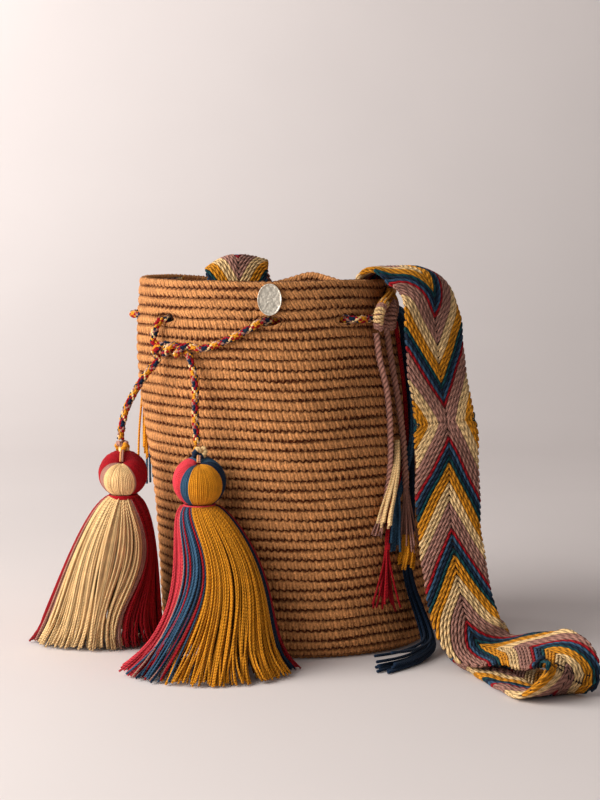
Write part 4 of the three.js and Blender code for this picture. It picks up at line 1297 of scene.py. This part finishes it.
class BAG_OT_fringes(bpy.types.Operator):
    """Hangs the yarn ends of the strap on both sides of the bag"""

    bl_idname = "bag.fringes"
    bl_label = "Yarn Ends"

    def execute(self, context):
        colours = context.scene.yarn_colours
        chance = np.random.default_rng(31)
        yarn = plied_finish("fringe_yarn", pitch=0.0048, depth=0.0004, ply_shade=0.3, fuzz=0.5)
        rope = plied_finish("mauve_rope", pitch=ROPE_PITCH, depth=0.0006, ply_shade=0.6, fuzz=0.7, plies=3)
        lines = {name: smooth_curve(route(points), SPAN_POINTS) for name, points in FRINGE_ROUTES.items()}

        skein = Skein()
        line = lines["right_wrapped_loop"]
        hang(skein, line[:INSIDE_END], 16, (0.0042, 0.0046), 0.001, colours, "mustard", chance,
             wave=0.0, points=18)
        wind(skein, line[WINDING_START:], 0.0032, colours, ("cream", "mauve", "cream", "cream", "mauve"))
        branch = smooth_curve(route(SECOND_LOOP), SPAN_POINTS)
        wind(skein, branch, 0.0043, colours, ("mustard", *["mauve"] * 4))
        skein.piece("wrapped_loop", yarn, "cream_yarn", "right_wrapped_loop")

        for label, fray, count, wide in (("left", 0.86, 12, 0.0065), ("right", 0.72, 20, 0.0115)):
            node = "right_mauve_cord_" + label
            whole = even(lines[node], CORD_POINTS)
            stop = int(CORD_POINTS * fray)
            path = whole[:stop]
            skein = Skein()
            # The cord's mauve is lightened as painted light, for a cord that stands out into the light.
            skein.add(path, 0.0024, dye(colours, "mauve", 1.45), 12, 3, 0.2, ROPE_PITCH)
            cord = skein.piece("mauve_cord_" + label, rope, "mauve_yarn", node)
            skein = Skein()
            hang(skein, whole[stop - 12:], count, (0.0012, wide), 0.00075, colours, "mauve", chance,
                 wave=0.0012, points=18, drop=0.2, sides=5)
            if label == "right":
                tip = np.vstack([whole[-20], whole[-1], whole[-1] + (-0.003, 0, -0.013)])
                hang(skein, tip, 12, (0.006, 0.009), 0.0011, colours, "mustard", chance,
                     wave=0.0006, points=10, drop=0.2)
            ends = skein.piece("mauve_tips_" + label, yarn, "mauve_yarn")

        for name, node, slot, shade, parts in BUNDLES:
            skein = Skein()
            whole = even(lines[node], BUNDLE_POINTS)
            for first, last, count, start, finish, wave, radius, drop in parts:
                part = whole[int(first * (BUNDLE_POINTS - 1)):int(last * (BUNDLE_POINTS - 1)) + 1]
                hang(skein, part, count, (start, finish), radius, colours, shade, chance, wave, 30, drop)
            skein.piece(name, yarn, slot, node)
        for name, slot, shade, count, points in HANGING_STRANDS:
            skein = Skein()
            line = smooth_curve(route(points), 20)
            wide = 0.0009 * count**0.5
            hang(skein, line, count, (wide, wide), 0.0011, colours, shade, chance, wave=0.0008, points=40)
            skein.piece(name, yarn, slot)
        return {"FINISHED"}


def studio_finish(name, colours):
    """Paper with painted light: lighter towards the left, darker towards the back of the floor and lighter
    again up the backdrop.
    """
    finish = Finish(name)
    x, y = finish.split(finish.place())
    # Painted light and shade: the paper's colour falls off to the right and to the back, and rises up the
    # backdrop.
    fall = finish.between(x, -0.6, 0.8, 1.0, 0.8) * finish.between(y, -0.8, 0.6, 1.0, 0.88)
    fall = fall * finish.between(y, 1.8, 2.4, 1.0, 1.12)
    grain = finish.noise(finish.place(), 3.0)
    colour = finish.shade(tuple(colours.backdrop), fall * finish.between(grain, 0.3, 0.7, 0.985, 1.015))
    return finish.surface(colour, 0.75)


# The paper: its width, its front edge, where it starts to rise, the radius of that bend, and its top.
PAPER_WIDTH = 16.0
PAPER_FRONT = -9.0
PAPER_BEND = 1.2
PAPER_TOP = 6.0
# Lamps: place, what they point at, size, power and colour.
LAMPS = {
    "key_light": ((-1.65, -0.7, 0.95), (0, 0, 0.12), 2.0, 75.0, (1.0, 0.98, 0.95)),
    "paper_light": ((-1.7, 0.9, 1.5), (-0.5, 2.8, 1.3), 0.7, 22.0, (1.0, 0.99, 0.99)),
}
WORLD_COLOUR = (0.86, 0.84, 0.84, 1.0)
WORLD_STRENGTH = 0.34
CAMERA_PLACE = (0.0, -1.6012, 0.3530)
CAMERA_TILT = 0.0978
CAMERA_LENS = 86.02


class BAG_OT_stage(bpy.types.Operator):
    """Sets up the floor, the backdrop, the lights and the camera"""

    bl_idname = "bag.stage"
    bl_label = "Stage"

    def execute(self, context):
        scene = context.scene
        bend = [(PAPER_BEND * (1 + math.sin(a)), PAPER_BEND * (1 - math.cos(a)))
                for a in np.linspace(0.1, math.pi / 2, 12)]
        section = [(PAPER_FRONT, 0.0), (PAPER_BEND, 0.0), *bend, (2 * PAPER_BEND, PAPER_TOP)]
        points = np.array([(x, y, z) for x in (-PAPER_WIDTH / 2, PAPER_WIDTH / 2) for y, z in section])
        count = len(section)
        quads = np.array([(k, count + k, count + k + 1, k + 1) for k in range(count - 1)])
        paper = lay_mesh("studio_paper", points, quads.ravel(), np.full(len(quads), 4))
        paper.data.materials.append(studio_finish("studio_paper", scene.yarn_colours))
        for name, (spot, aim, size, power, tint) in LAMPS.items():
            light = bpy.data.lights.new(name, "AREA")
            light.shape = "SQUARE"
            light.size = size
            light.energy = power
            light.color = tint
            lamp = bpy.data.objects.new(name, light)
            lamp.location = spot
            lamp.rotation_euler = (Vector(aim) - Vector(spot)).to_track_quat("-Z", "Y").to_euler()
            scene.collection.objects.link(lamp)
        world = bpy.data.worlds.new("studio_world")
        world.use_nodes = True
        back = world.node_tree.nodes["Background"]
        back.inputs["Color"].default_value = WORLD_COLOUR
        back.inputs["Strength"].default_value = WORLD_STRENGTH
        scene.world = world
        scene.view_settings.view_transform = "Standard"
        eye = bpy.data.cameras.new("camera")
        eye.lens = CAMERA_LENS
        eye.sensor_width = 36.0
        eye.clip_end = 30.0
        camera = bpy.data.objects.new("camera", eye)
        camera.location = CAMERA_PLACE
        camera.rotation_euler = (math.pi / 2 - CAMERA_TILT, 0.0, 0.0)
        scene.collection.objects.link(camera)
        scene.camera = camera
        return {"FINISHED"}


class BAG_PT_panel(bpy.types.Panel):
    """Lists the steps that make the bag"""

    bl_idname = "BAG_PT_panel"
    bl_label = "Bucket Bag"
    bl_space_type = "VIEW_3D"
    bl_region_type = "UI"
    bl_category = "Bag"

    def draw(self, context):
        column = self.layout.column(align=True)
        for step in STEPS:
            column.operator(step.bl_idname)


STEPS = (BAG_OT_stage, BAG_OT_wall, BAG_OT_strap, BAG_OT_drawstring, BAG_OT_tassels, BAG_OT_tag,
         BAG_OT_fringes)
CLASSES = (BagSizes, YarnColours, *STEPS, BAG_PT_panel)


def register():
    for item in CLASSES:
        bpy.utils.register_class(item)
    bpy.types.Scene.bag_sizes = bpy.props.PointerProperty(type=BagSizes)
    bpy.types.Scene.yarn_colours = bpy.props.PointerProperty(type=YarnColours)


def unregister():
    del bpy.types.Scene.yarn_colours
    del bpy.types.Scene.bag_sizes
    for item in reversed(CLASSES):
        bpy.utils.unregister_class(item)


def main():
    register()
    bpy.ops.bag.stage()
    bpy.ops.bag.wall()
    bpy.ops.bag.strap()
    bpy.ops.bag.drawstring()
    bpy.ops.bag.tassels()
    bpy.ops.bag.tag()
    bpy.ops.bag.fringes()


if __name__ == "__main__":
    main()
